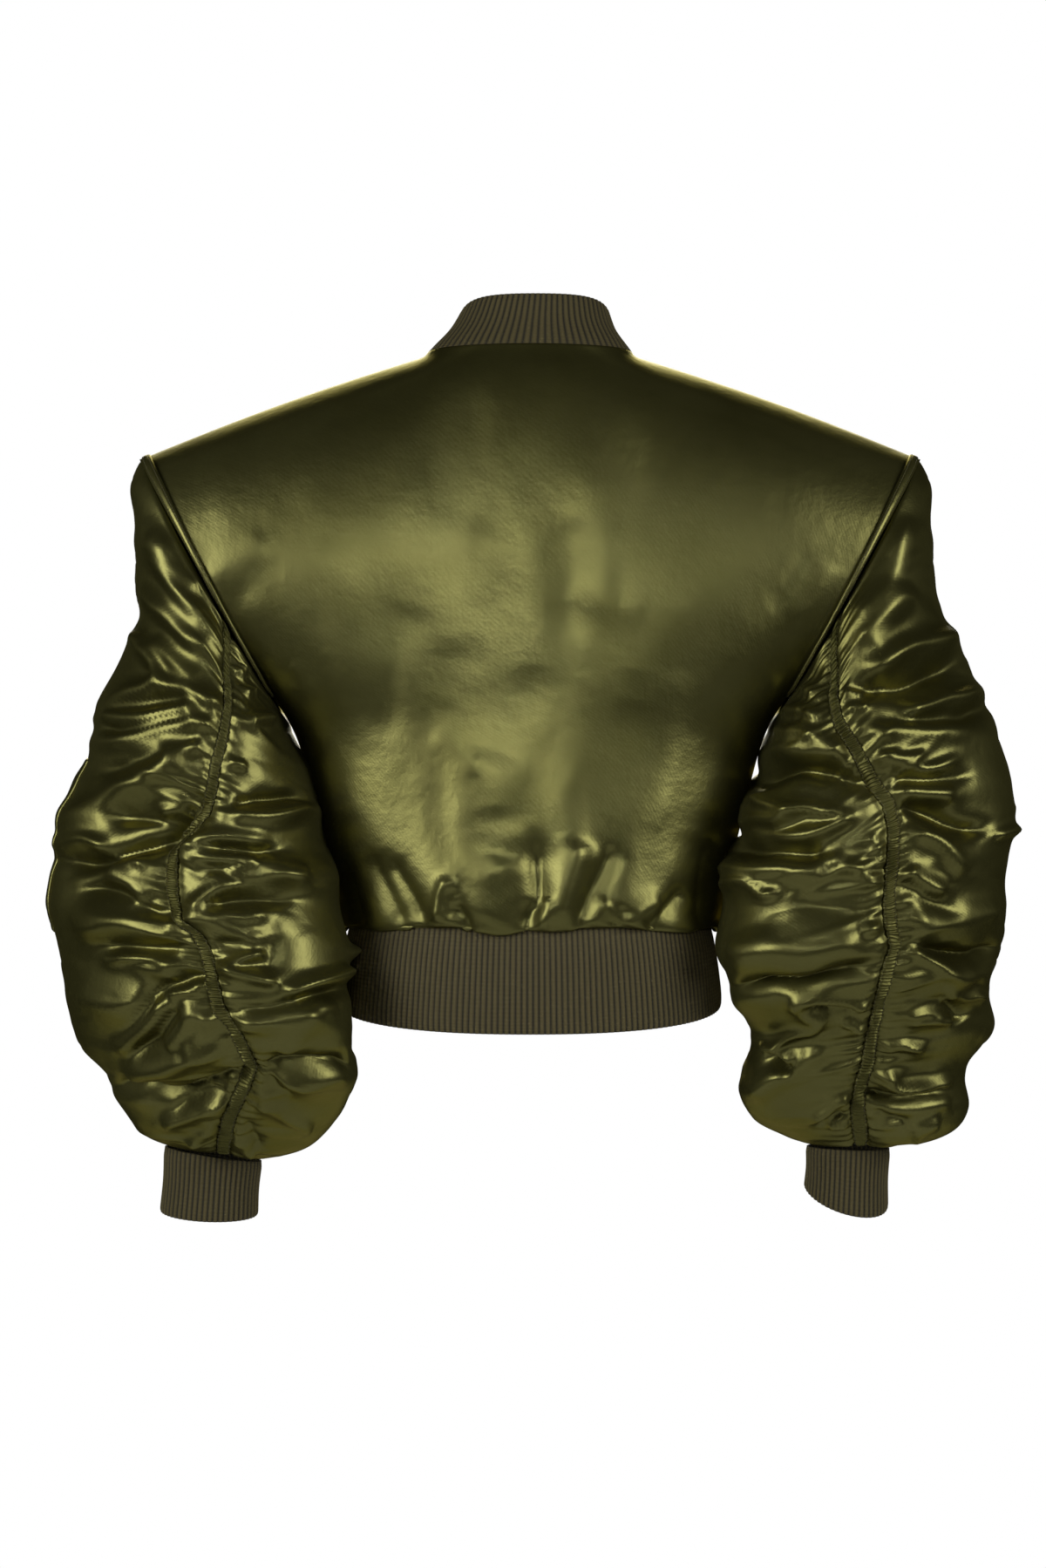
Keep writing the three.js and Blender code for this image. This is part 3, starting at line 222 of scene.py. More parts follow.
# Creases of each sleeve: a line of points as seen from behind, then height and width. A trough is negative.
# The heights are for a flat cloth; FOLD_DEPTH makes them those of the padded one.
FOLD_DEPTH = 2.1
FRONT_FOLD_SHIFT = 0.45
PUFF_HEIGHT = 4.2
LEAN_IN = 7
SLEEVE_FOLDS = {
    "left": [
        ([(354, -163), (328, -205), (285, -276)], 3.0, 8),
        ([(340, -170), (318, -202), (300, -214)], 2.4, 8),
        ([(356, -214), (338, -233), (315, -260), (285, -282)], 3.0, 8),
        ([(347, -262), (330, -282), (300, -305)], 3.5, 11),
        ([(357, -254), (353, -276), (345, -305), (398, -321)], 5.0, 8),
        ([(345, -305), (312, -312), (285, -327)], 4.0, 8),
        ([(392, -327), (345, -320), (312, -322)], -3.0, 7),
        ([(400, -334), (347, -334), (304, -324)], 6.0, 8),
        ([(398, -346), (350, -343), (312, -332)], -5.5, 8),
        ([(398, -359), (351, -346), (308, -340), (293, -349)], 5.0, 8),
        ([(338, -366), (297, -359)], 4.0, 8),
        ([(400, -385), (340, -366), (300, -352)], -3.0, 8),
        ([(434, -443), (387, -411), (342, -383), (312, -368)], 6.0, 12),
        ([(398, -424), (334, -428), (295, -406)], -5.0, 10),
        ([(347, -424), (314, -419)], 3.5, 7),
        ([(437, -460), (410, -448), (392, -458)], 4.5, 7),
        ([(439, -466), (392, -465), (342, -449), (300, -426)], -10.0, 10),
        ([(394, -469), (368, -466), (351, -471)], 5.0, 7),
        ([(398, -473), (370, -490), (351, -507)], 5.0, 11),
        ([(420, -490), (387, -492), (355, -507), (323, -522)], -6.0, 10),
        ([(420, -526), (381, -520), (343, -524), (307, -535)], 6.5, 15),
        ([(388, -543), (350, -546), (315, -545)], -3.5, 11),
        ([(379, -553), (347, -556), (315, -566)], 4.5, 8),
        ([(375, -562), (333, -561)], -2.5, 6),
        ([(297, -570), (315, -578), (337, -588), (347, -596), (371, -631)], -6.0, 7),
        ([(295, -576), (315, -586), (335, -592)], 4.0, 5),
        ([(307, -594), (317, -619), (331, -637)], 4.5, 9),
        ([(415, -586), (376, -597), (350, -599)], 4.0, 14),
        ([(394, -554), (350, -565), (315, -579)], 3.5, 9),
        ([(378, -644), (351, -619), (334, -595)], 5.0, 9),
        ([(365, -648), (340, -628), (322, -603)], -5.0, 8),
        ([(315, -640), (300, -622), (293, -597)], 4.0, 8),
        ([(300, -520), (262, -535), (232, -531)], 4.0, 9),
        ([(377, -660), (335, -651), (311, -645), (279, -635)], 8.0, 10),
        ([(385, -673), (355, -673), (325, -683), (279, -673), (257, -661)], -9.0, 8),
        ([(335, -707), (303, -697), (279, -695)], 5.0, 7),
        ([(327, -697), (300, -688), (279, -686)], -4.5, 5),
        ([(313, -729), (295, -717), (287, -713)], 3.5, 6),
        ([(266, -290), (258, -297)], 3.0, 5),
        ([(264, -312), (252, -309)], 3.0, 4),
        ([(263, -340), (240, -338)], 4.5, 6),
        ([(279, -375), (267, -379)], 3.0, 4),
        ([(203, -410), (245, -411), (278, -418)], -6.0, 7),
        ([(280, -426), (248, -430), (203, -414)], 5.5, 8),
        ([(330, -456), (300, -445), (235, -449)], 5.0, 7),
        ([(297, -454), (227, -456)], -4.5, 6),
        ([(325, -458), (291, -466), (257, -464), (278, -479), (304, -488)], 4.5, 6),
        ([(250, -466), (205, -479)], 5.0, 10),
        ([(290, -476), (262, -486), (240, -478)], -4.0, 8),
        ([(317, -520), (291, -496), (242, -481), (201, -492)], 6.5, 8),
        ([(323, -522), (278, -516), (261, -518), (237, -511)], 4.5, 7),
        ([(300, -508), (262, -502), (215, -503)], -4.5, 7),
        ([(287, -540), (255, -538)], -4.0, 7),
        ([(283, -566), (255, -554), (241, -550)], 4.5, 5),
        ([(281, -568), (255, -574), (230, -578)], 5.0, 6),
        ([(247, -524), (234, -545), (236, -572)], -3.0, 9),
        ([(226, -592), (196, -578), (160, -562)], 7.5, 8),
        ([(279, -603), (236, -602), (196, -590), (165, -577)], -5.5, 8),
        ([(275, -612), (224, -608), (176, -598)], 5.0, 13),
        ([(196, -604), (212, -625), (226, -645)], 3.0, 11),
        ([(246, -655), (196, -652), (160, -655)], -7.5, 8),
        ([(238, -673), (196, -666), (162, -660)], 5.5, 10),
        ([(247, -667), (216, -681)], -4.0, 7),
        ([(255, -687), (226, -695), (200, -713)], 4.5, 9),
        ([(261, -707), (247, -733)], -3.0, 5),
        ([(275, -719), (260, -730), (249, -739)], 3.5, 5),
    ],
    "right": [
        ([(352, -150), (330, -200), (296, -262)], 3.0, 12),
        ([(343, -212), (322, -246), (300, -274)], 4.0, 13),
        ([(392, -262), (345, -274), (305, -298)], 6.0, 11),
        ([(396, -282), (363, -300), (325, -308), (288, -306)], -7.5, 10),
        ([(416, -309), (373, -321), (335, -331)], 6.0, 8),
        ([(286, -312), (309, -312)], 3.0, 4),
        ([(292, -327), (313, -325)], 3.0, 4),
        ([(316, -337), (350, -336), (395, -334), (423, -318)], -5.5, 8),
        ([(309, -348), (350, -343), (405, -346)], 5.5, 13),
        ([(313, -366), (340, -370), (361, -368)], 3.5, 5),
        ([(314, -372), (340, -377), (367, -380), (395, -368)], 4.0, 6),
        ([(325, -388), (370, -390), (410, -384)], -3.5, 9),
        ([(335, -402), (393, -402)], 4.5, 7),
        ([(335, -410), (395, -409)], 3.0, 5),
        ([(343, -412), (384, -428), (423, -443)], -8.0, 8),
        ([(425, -446), (434, -441), (446, -439)], 4.5, 6),
        ([(352, -443), (378, -449), (403, -479)], 4.5, 9),
        ([(341, -474), (358, -486), (386, -494)], 4.5, 8),
        ([(340, -484), (362, -500), (400, -512)], -3.5, 9),
        ([(345, -520), (385, -518), (432, -510)], 5.0, 16),
        ([(352, -544), (395, -555), (436, -548)], -8.5, 8),
        ([(343, -542), (373, -562), (388, -570), (412, -558)], 5.5, 7),
        ([(412, -559), (414, -582), (402, -596)], 3.0, 9),
        ([(373, -584), (392, -590), (410, -586)], 4.5, 9),
        ([(375, -589), (385, -603), (396, -616)], -5.0, 7),
        ([(339, -604), (357, -600), (373, -606)], 3.5, 6),
        ([(341, -612), (363, -610), (386, -614)], 4.0, 6),
        ([(325, -639), (343, -635), (363, -643)], 4.0, 6),
        ([(323, -653), (335, -669), (365, -673), (390, -660)], 7.0, 8),
        ([(307, -681), (339, -684), (388, -673)], -9.0, 7),
        ([(309, -692), (353, -688), (388, -684)], 5.5, 11),
        ([(313, -695), (345, -708)], -4.5, 6),
        ([(345, -712), (373, -703)], 4.0, 7),
        ([(249, -306), (264, -314)], 3.0, 5),
        ([(238, -329), (253, -331), (270, -338)], 4.0, 6),
        ([(228, -344), (241, -352), (258, -351), (288, -364)], 4.5, 7),
        ([(219, -368), (266, -368), (292, -370)], 4.5, 9),
        ([(196, -402), (234, -382), (275, -384), (320, -403)], -9.0, 9),
        ([(213, -406), (223, -415), (253, -421)], 5.5, 7),
        ([(200, -428), (234, -430), (256, -421), (292, -428), (258, -443), (211, -441)], 5.0, 6),
        ([(187, -456), (234, -459), (275, -458)], -6.5, 9),
        ([(313, -443), (324, -462)], 3.0, 5),
        ([(275, -462), (296, -473), (322, -490)], 4.5, 8),
        ([(187, -475), (234, -471), (275, -477)], 6.0, 14),
        ([(181, -501), (202, -488), (217, -499), (230, -494)], 3.5, 5),
        ([(240, -500), (280, -512), (312, -516)], -3.0, 12),
        ([(305, -529), (320, -524)], 4.0, 6),
        ([(178, -552), (240, -548), (313, -540)], 6.0, 18),
        ([(178, -584), (233, -580), (273, -571), (321, -565)], -9.5, 8),
        ([(231, -593), (265, -594), (293, -598), (307, -593)], 4.5, 6),
        ([(233, -596), (253, -608), (273, -616)], 4.5, 7),
        ([(253, -602), (297, -603)], -4.0, 7),
        ([(225, -633), (241, -625), (271, -619)], 4.5, 6),
        ([(285, -616), (307, -622)], 3.5, 5),
        ([(215, -629), (233, -639), (247, -648)], 5.5, 5),
        ([(219, -641), (232, -650), (245, -657)], -6.5, 6),
        ([(199, -683), (219, -667), (253, -651), (273, -639)], 5.0, 10),
        ([(257, -705), (281, -691), (293, -685)], 3.5, 4),
        ([(273, -711), (291, -709)], 3.0, 4),
        ([(262, -712), (288, -699)], -3.0, 4),
    ],
}

# Ribs
RIB_SEAM_INSET = 0.4
RIB_WAVE = 1.2
FINE_RIB_PITCH = 5.0
SAMPLES_PER_RIB = 6
WAISTBAND_BOTTOM = {"z": -596, "half": 175, "back": 118, "front": 112, "back_dip": 22, "front_dip": 14}
COLLAR_TOP = {"half": 67, "back": 47, "front": 62, "shift": -5, "level": 49, "drop": 68, "power": 1.9}
COLLAR_MIDDLE_INSET = 4
CUFFS = {
    "left": {"outer": 60, "inner": 50, "lean": 4, "dip": 5},
    "right": {"outer": 54, "inner": 38, "lean": -2, "dip": 14},
}

NOISE_CELLS = 32


class JacketSizes(bpy.types.PropertyGroup):
    shell_thickness: bpy.props.FloatProperty(
        name="Shell thickness", description="Padded satin, outside to lining", default=0.003, unit="LENGTH")
    rib_thickness: bpy.props.FloatProperty(
        name="Rib thickness", description="Knit rib without its ridges", default=0.0026, unit="LENGTH")
    rib_pitch: bpy.props.FloatProperty(
        name="Rib pitch", description="From one knit ridge to the next", default=0.0053, unit="LENGTH")
    rib_height: bpy.props.FloatProperty(
        name="Rib height", description="How far a knit ridge stands out", default=0.0014, unit="LENGTH")
    stitch_length: bpy.props.FloatProperty(
        name="Stitch length", description="One lockstitch of the topstitching", default=0.0031, unit="LENGTH")
    pucker_height: bpy.props.FloatProperty(
        name="Pucker height", description="Height of the puckers beside the tapes", default=0.0046,
        unit="LENGTH")


class JacketColours(bpy.types.PropertyGroup):
    satin: bpy.props.StringProperty(name="Satin", description="sRGB hex of the shell", default="#57552f")
    satin_worn: bpy.props.StringProperty(
        name="Satin, faded", description="sRGB hex of its paler patches", default="#615f37")
    rib: bpy.props.StringProperty(name="Rib", description="sRGB hex of the knit ridges", default="#4b4324")
    # Painted shade: the knit is darkened to this colour in the grooves between its ridges, where shade falls.
    rib_groove_shade: bpy.props.StringProperty(
        name="Rib groove", description="sRGB hex between the ridges", default="#1f1c0d")
    tape: bpy.props.StringProperty(name="Tape", description="sRGB hex of the gather tape", default="#4a4926")
    thread: bpy.props.StringProperty(name="Thread", description="sRGB hex of the stitches", default="#3c391c")
    zip_cloth: bpy.props.StringProperty(
        name="Zip cloth", description="sRGB hex of the zip's tape", default="#2f2f1a")
    zip_metal: bpy.props.StringProperty(
        name="Zip metal", description="sRGB hex of teeth and slider", default="#9a9b96")


# Numbers

def mix(first, second, share):
    return first + (second - first) * share


def smooth(value):
    t = np.clip(value, 0, 1)
    return t * t * (3 - 2 * t)


def power(value, exponent):
    return np.maximum(value, 0) ** exponent


def unit(vectors):
    return vectors / np.maximum(np.linalg.norm(vectors, axis=-1, keepdims=True), 1e-9)


def curve_through(rows, place):
    """Smooth curve through the rows of a table, read at places counted in rows."""
    rows = np.asarray(rows, float)
    index = np.clip(np.floor(place).astype(int), 0, len(rows) - 2)
    t = (place - index)[..., None]
    a, b, c, d = (rows[np.clip(index + k, 0, len(rows) - 1)] for k in (-1, 0, 1, 2))
    return 0.5 * (2 * b + (c - a) * t + (2 * a - 5 * b + 4 * c - d) * t**2
                  + (3 * b - a - 3 * c + d) * t**3)


def soft_noise(points, size, seed):
    """Random swell between -1 and 1 whose waves are about size long, the same in each run."""
    cells = np.random.default_rng(seed).uniform(-1, 1, (NOISE_CELLS,) * 3)
    place = points / size
    low = np.floor(place).astype(int)
    t = smooth(place - low)
    total = np.zeros(points.shape[:-1])
    for corner in np.ndindex(2, 2, 2):
        index = (low + corner) % NOISE_CELLS
        weight = np.prod(np.where(np.array(corner) == 1, t, 1 - t), axis=-1)
        total += weight * cells[index[..., 0], index[..., 1], index[..., 2]]
    return total


def relax(points, hold, passes):
    """Softens the kinks of a grid of points. Hold is 1 where a point stays and 0 where it is free."""
    free = (1 - hold)[1:-1, 1:-1, None]
    for _ in range(passes):
        around = (points[:-2, 1:-1] + points[2:, 1:-1] + points[1:-1, :-2] + points[1:-1, 2:]) / 4
        points[1:-1, 1:-1] += (around - points[1:-1, 1:-1]) * free
    return points


def normals_of(points, centre):
    """Directions square to a grid of points, facing as a whole away from centre."""
    along = np.gradient(points, axis=1)
    up = np.gradient(points, axis=0)
    normals = unit(np.cross(along, up))
    if np.sum(normals * (points - centre)) < 0:
        normals = -normals
    return normals


def nearest_on_line(line, x, z):
    """Distance from a smooth line, and the share of the line that lies before the nearest point."""
    knots = np.linspace(0, len(line) - 1, 5 * (len(line) - 1) + 1)
    path = curve_through(line, knots)
    best = np.full(x.shape, 1e9)
    along = np.zeros(x.shape)
    for i in range(len(path) - 1):
        dx, dz = path[i + 1] - path[i]
        t = np.clip(((x - path[i][0]) * dx + (z - path[i][1]) * dz) / (dx * dx + dz * dz), 0, 1)
        gap = np.hypot(x - path[i][0] - dx * t, z - path[i][1] - dz * t)
        nearer = gap < best
        best = np.where(nearer, gap, best)
        along = np.where(nearer, (i + t) / (len(path) - 1), along)
    return best, along


def folds_at(folds, x, z, trough=1.35, ridge=1.85):
    """Height of listed creases, each fading out towards its two ends. The lower trough and ridge are, the
    sharper their lines."""
    relief = np.zeros(x.shape)
    for line, height, width in folds:
        gap, along = nearest_on_line(line, x, z)
        ends = 0.2 + 0.8 * smooth(along / 0.22) * smooth((1 - along) / 0.22)
        relief += height * ends * np.exp(-power(gap / width, trough if height < 0 else ridge))
    return relief


def as_seen(points, side=1):
    """Where points seem to be in the middle plane, seen from behind."""
    scale = VIEW_DISTANCE / (VIEW_DISTANCE - points[..., 1])
    return mix(side * VIEW_X, points[..., 0], scale), mix(VIEW_Z, points[..., 2], scale)


# Body surface

def neck_height(y):
    """Height of the neck seam, which drops towards the front."""
    share = (NECK_BACK - y) / (NECK_BACK + NECK_FRONT)
    return NECK_LEVEL - NECK_DROP * power(share, NECK_DROP_POWER)


def top_line(x, face):
    """Depth and height of the neck seam, and of the shoulder seam beyond it."""
    depth = NECK_BACK if face > 0 else NECK_FRONT
    in_neck = x <= NECK_HALF
    y = np.where(in_neck, face * depth * np.sqrt(np.maximum(0, 1 - (x / NECK_HALF) ** 2)), 0)
    share = np.clip((x - NECK_HALF) / (SHOULDER_X - NECK_HALF), 0, 1)
    shoulder = mix(neck_height(0), SHOULDER_Z, share) + SHOULDER_ARCH * np.sin(np.pi * share)
    return y, np.where(in_neck, neck_height(y), shoulder)


def body_surface(column, level, angle, face, columns=COLUMNS):
    """Points of one half of the body. Column runs from the centre to the side, level from the waist seam
    to the underarm and angle, in degrees, from the underarm at 180 to the shoulder at 0."""
    share = column / columns
    low = np.radians(share * 90)
    low_x = power(np.sin(low), 2 / BODY_ROUNDNESS)
    low_y = power(np.cos(low), 2 / BODY_ROUNDNESS)
    row = curve_through(BODY_LEVELS, level)
    z, half, back, front = (row[..., i] for i in range(4))
    depth = back if face > 0 else front
    lower = np.stack([half * low_x, face * depth * low_y, z], -1)
    neck_end = NECK_HALF / SHOULDER_X
    edge = 1 - BAND_WIDTH / SHOULDER_X
    across = np.clip((column - NECK_COLUMNS) / (columns - 1 - NECK_COLUMNS), 0, 1)
    top_share = np.where(column <= NECK_COLUMNS,
                         neck_end * np.sin(np.radians(np.clip(column / NECK_COLUMNS, 0, 1) * 90)),
                         mix(neck_end, edge, across))
    top_share = np.where(column > columns - 1, mix(edge, 1, column - (columns - 1)), top_share)
    q = (1 + np.cos(np.radians(angle))) / 2
    edge_x = mix(UNDERARM_X, SHOULDER_X, q)
    edge_y = ARMHOLE_DEPTH * np.abs(np.sin(np.radians(angle)))
    wide = mix(low_x, top_share, smooth(q))
    top_y, top_z = top_line(top_share * SHOULDER_X, face)
    chest = BODY_LEVELS[-1][2 if face > 0 else 3]
    roll = power(1 - power(q, SHOULDER_ROUNDNESS), 1 / SHOULDER_ROUNDNESS)
    core = mix(np.abs(top_y), chest, roll)
    closing = power(1 - power(wide, BODY_ROUNDNESS), 1 / BODY_ROUNDNESS)
    upper = np.stack([edge_x * wide, face * mix(edge_y, core, closing), mix(UNDERARM_Z, top_z, q)], -1)
    return np.where((angle < 180)[..., None], upper, lower)


def gathers_at(gathers, place, z):
    """Height of a row of gathers that rise from the waist seam and fade upwards."""
    rise = np.maximum(0, z - BODY_LEVELS[0][0])
    relief = -GATHER_SINK * np.exp(-rise / GATHER_SINK_REACH)
    for centre, height, width, reach, lean in gathers:
        drift = centre + lean * rise / 60
        relief = relief + height * np.exp(-rise / reach) * np.exp(-((place - drift) / width) ** 2)
    return relief


def body_rows(low_rows, high_rows):
    """Levels and angles of the rows of a panel, closest where the cloth turns in over the waistband."""
    level = np.concatenate([10 * power(np.linspace(0, 1, low_rows), 1.35), np.full(high_rows, 10)])
    angle = np.concatenate([np.full(low_rows, 180), np.linspace(180, 0, high_rows + 1)[1:]])
    return level, angle


def seam_dip(gap, depth=2.4, reach=6):
    """Padded cloth sinks towards a seam, gap millimetres away."""
    return -depth * np.exp(-gap / reach)


def body_half(face, columns_wanted, cad_columns):
    """Columns, levels, angles and points of one half of the back (face 1) or of a front (face -1)."""
    level, angle = body_rows(BODY_LOW_ROWS, BODY_HIGH_ROWS)
    column = np.linspace(0, cad_columns, columns_wanted)
    column, level = np.meshgrid(column, level)
    angle = np.broadcast_to(angle[:, None], column.shape)
    return column, level, angle, body_surface(column, level, angle, face, cad_columns)


# Sleeve surface

def sleeve_surface(side, place, angle):
    """Points of a sleeve as if it were the left one. Angle 0 is the top, 90 the back, 180 the underarm."""
    ring = curve_through(SLEEVE_RINGS[side], place)
    c = np.cos(np.radians(angle))
    s = np.sin(np.radians(angle))
    to_inner = (1 - c) / 2
    depth = np.where(s > 0, ring[..., 6], ring[..., 7])
    return np.stack([
        mix(ring[..., 0], ring[..., 2], to_inner),
        ring[..., 4] + s * depth + ring[..., 5] * to_inner,
        mix(ring[..., 1], ring[..., 3], to_inner),
    ], -1)


def tape_angles(side, places):
    """Angle at which the gathered seam crosses each place down the sleeve."""
    angles = np.arange(50, 140, 0.25)
    grid = sleeve_surface(side, *np.meshgrid(places, angles, indexing="ij"))
    x, z = as_seen(grid, 1 if side == "left" else -1)
    line = np.array(TAPE_LINE[side], float)
    wanted = np.interp(-z, -line[:, 1], line[:, 0])
    found = angles[np.argmin(np.abs(wanted - x), axis=1)]
    kernel = np.ones(5) / 5
    padded = np.concatenate([np.full(2, found[0]), found, np.full(2, found[-1])])
    return np.convolve(padded, kernel, mode="valid")


PUCKERS = {}


def pucker_table(side, part):
    """Uneven puckers along one edge of a tape: place in rings, height, width, length and lean."""
    key = (side, part)
    if key not in PUCKERS:
        random = np.random.default_rng({"left": 11, "right": 23}[side] + (1 if part == "outer" else 0))
        places = [0.5]
        while places[-1] < LAST_RING - 0.35:
            places.append(places[-1] + random.uniform(0.13, 0.34))
        count = len(places)
        PUCKERS[key] = np.stack([
            np.array(places), random.uniform(0.35, 1.0, count), random.uniform(0.045, 0.085, count),
            random.choice([9, 14, 20, 32, 48], count) * random.uniform(0.8, 1.2, count),
            random.uniform(-0.006, 0.006, count),
        ], 1)
    return PUCKERS[key]


def puckers_at(side, part, place, gap):
    """Height of the puckers, from 0 to about 1, at a gap in millimetres from the tape."""
    relief = np.zeros(place.shape)
    for middle, height, width, length, lean in pucker_table(side, part):
        spread = width * (1 + gap / length * 0.8)
        relief += height * np.exp(-((place - middle - lean * gap) / spread) ** 2) * np.exp(-gap / length)
    return relief


def sleeve_middle(side, place):
    """Centre line of a sleeve."""
    return (sleeve_surface(side, place, 0 * place) + sleeve_surface(side, place, 0 * place + 180)) / 2


def folds_round(side, place, angle):
    """The listed creases. They run on over the sleeve's edges as seen from behind, and similar ones lie on
    the hidden side."""
    s = np.sin(np.radians(angle))
    sign = 1 if side == "left" else -1
    total = 0
    for share, shift, turned in ((smooth((s + 0.3) / 0.6), 0, angle),
                                 (smooth((0.3 - s) / 0.6), FRONT_FOLD_SHIFT,
                                  np.where(angle < 90, -angle, 360 - angle))):
        seen = sleeve_surface(side, np.clip(place + shift, 0, LAST_RING), np.clip(turned, 14, 166))
        x, z = as_seen(seen, sign)
        x = x + 5 * soft_noise(seen, 42, 5)
        z = z + 4 * soft_noise(seen, 35, 6)
        total = total + share * folds_at(SLEEVE_FOLDS[side], x, z)
    return total


def sleeve_out(side, place, angle):
    """Directions square to the plain sleeve, facing out."""
    round_it = sleeve_surface(side, place, angle + 2) - sleeve_surface(side, place, angle - 2)
    low = np.clip(place - 0.15, 0, LAST_RING - 0.3)
    down_it = sleeve_surface(side, low + 0.3, angle) - sleeve_surface(side, low, angle)
    out = unit(np.cross(round_it, down_it))
    away = sleeve_surface(side, place, angle) - sleeve_middle(side, place)
    return out * np.sign(np.sum(out * away))


def sleeve_points(side, place, angle):
    """Points on the creased sleeve, and the directions that face out of it."""
    base = sleeve_surface(side, place, angle)
    out = sleeve_out(side, place, angle)
    ends = smooth(place * 1.2) * smooth((LAST_RING - place) / 0.7)
    puffs = PUFF_HEIGHT * soft_noise(base * np.array([0.4, 0.4, 1.2]), 36, 8)
    upper = smooth((place - 0.8) / 1.6) * smooth((8.5 - place) / 2)
    towards_body = LEAN_IN * np.exp(-((angle - 180) / 42) ** 2) * upper
    relief = (FOLD_DEPTH * folds_round(side, place, angle) + puffs) * ends + towards_body
    return base + out * relief[..., None], out


def sleeve_relief(side, part, points, place, angle, tape_angle, sizes):
    """Small crumples, the puckers beside the tape, and the dips at the seams."""
    ring = curve_through(SLEEVE_RINGS[side], place)
    radius = np.maximum(ring[..., 6], 40) * 1.1
    gap = np.maximum(0, np.abs(np.radians(angle - tape_angle)) * radius - TAPE_HALF_WIDTH)
    puckers = sizes.pucker_height / MM * puckers_at(side, part, place, gap) * smooth(gap / 3 + 0.35)
    stretched = points * np.array([0.5, 0.7, 1.7])
    creases = 0.9 * soft_noise(stretched, 42, 7) + 0.6 * soft_noise(stretched, 20, 9)
    crisp = -0.8 * power(1 - np.abs(soft_noise(stretched, 44, 9)) * 3, 2)
    ends = smooth(place) * smooth((LAST_RING - place) / 0.8)
    front_gap = np.radians(np.minimum(np.abs(angle + 90), np.abs(angle - 270))) * radius
    seams = seam_dip(place * 30) + seam_dip((LAST_RING - place) * 25) + seam_dip(front_gap) \
        + seam_dip(gap, 4.4, 5)
    return (creases + crisp) * ends + puckers * smooth(place * 2) + seams


def sleeve_panel(side, part, rows, columns, sizes):
    """Points of one sleeve panel, closest together beside the gathered seam, and the centre line."""
    places = np.linspace(0, LAST_RING, rows)
    tape = tape_angles(side, places)[:, None]
    share = np.linspace(0, 1, columns)[None, :]
    if part == "outer":
        angle = mix(-90.0, tape, 1 - power(1 - share, 1.2))
    else:
        angle = mix(tape, 270.0, power(share, 1.2))
    place = np.broadcast_to(places[:, None], angle.shape)
    points, out = sleeve_points(side, place, angle)
    relief = sleeve_relief(side, part, points, place, angle, tape, sizes)
    middle = sleeve_middle(side, place)
    points = points + out * relief[..., None]
    if side == "right":
        points = points * np.array([-1, 1, 1])
        middle = middle * np.array([-1, 1, 1])
    return points, middle


# Meshes

def grid_object(name, points, centre, wrap=False, shade=None):
    """A grid of points in millimetres as a smooth mesh in metres, facing away from centre. Its UV map is
    in metres along and across the cloth."""
    rows, columns = points.shape[:2]
    bm = bmesh.new()
    uv = bm.loops.layers.uv.new("cloth")
    # shade: a share per point, kept as the attribute "ridge", from which the knit material paints shade into
    # the grooves between the ridges.
    shade_layer = bm.verts.layers.float.new("ridge") if shade is not None else None
    bmesh.ops.create_grid(bm, x_segments=columns - 1, y_segments=rows - 1, size=0.5)
    width = np.mean(np.sum(np.linalg.norm(np.diff(points, axis=1), axis=-1), axis=1)) * MM
    length = np.mean(np.sum(np.linalg.norm(np.diff(points, axis=0), axis=-1), axis=0)) * MM
    metres = points * MM
    for vert in bm.verts:
        c = round((vert.co.x + 0.5) * (columns - 1))
        r = round((vert.co.y + 0.5) * (rows - 1))
        for loop in vert.link_loops:
            loop[uv].uv = (width * c / (columns - 1), length * r / (rows - 1))
        if shade is not None:
            vert[shade_layer] = float(shade[r, c])
        vert.co = metres[r, c]
    bm.normal_update()
    facing = 0.0
    centres = np.broadcast_to(centre, points.shape)[::4, ::4].reshape(-1, 3) * MM
    middle = Vector(centres.mean(axis=0))
    for face in list(bm.faces)[:: max(1, len(bm.faces) // 400)]:
        facing += face.normal.dot(face.calc_center_median() - middle)
    if facing < 0:
        bmesh.ops.reverse_faces(bm, faces=bm.faces)
    if wrap:
        bmesh.ops.remove_doubles(bm, verts=bm.verts, dist=1e-6)
    mesh = bpy.data.meshes.new(name)
    bm.to_mesh(mesh)
    bm.free()
    for polygon in mesh.polygons:
        polygon.use_smooth = True
    piece = bpy.data.objects.new(name, mesh)
    bpy.context.scene.collection.objects.link(piece)
    return piece


def thicken(piece, thickness):
    """Gives a sheet its wall, inwards from the face that shows."""
    wall = piece.modifiers.new("Wall", "SOLIDIFY")
    wall.thickness = thickness
    wall.offset = -1
    wall.use_rim = True


def finish_piece(piece, material, replaced=(), thickness=None):
    """Wall, material, body and the solid that the piece stands for."""
    if thickness:
        thicken(piece, thickness)
    piece.data.materials.append(material)
    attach(piece, BODY)
    if replaced:
        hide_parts(*replaced)
    return piece


# Materials

def linear(hex_colour):
    """sRGB hex to the linear colour that the shader takes."""
    parts = [int(hex_colour[i:i + 2], 16) / 255 for i in (1, 3, 5)]
    return tuple(p / 12.92 if p <= 0.04045 else ((p + 0.055) / 1.055) ** 2.4 for p in parts) + (1.0,)


def add_node(tree, kind, settings=None, links=None):
    """Adds a node, sets its properties and inputs, and links its inputs to other nodes' outputs."""
    node = tree.nodes.new(kind)
    for name, value in (settings or {}).items():
        if name in node.inputs:
            node.inputs[name].default_value = value
        else:
            setattr(node, name, value)
    for name, (source, output) in (links or {}).items():
        tree.links.new(source.outputs[output], node.inputs[name])
    return node


def new_material(name):
    material = bpy.data.materials.new(name)
    material.use_nodes = True
    tree = material.node_tree
    tree.nodes.clear()
    return material, tree


def close_material(tree, shader):
    add_node(tree, "ShaderNodeOutputMaterial", links={"Surface": (shader, "BSDF")})


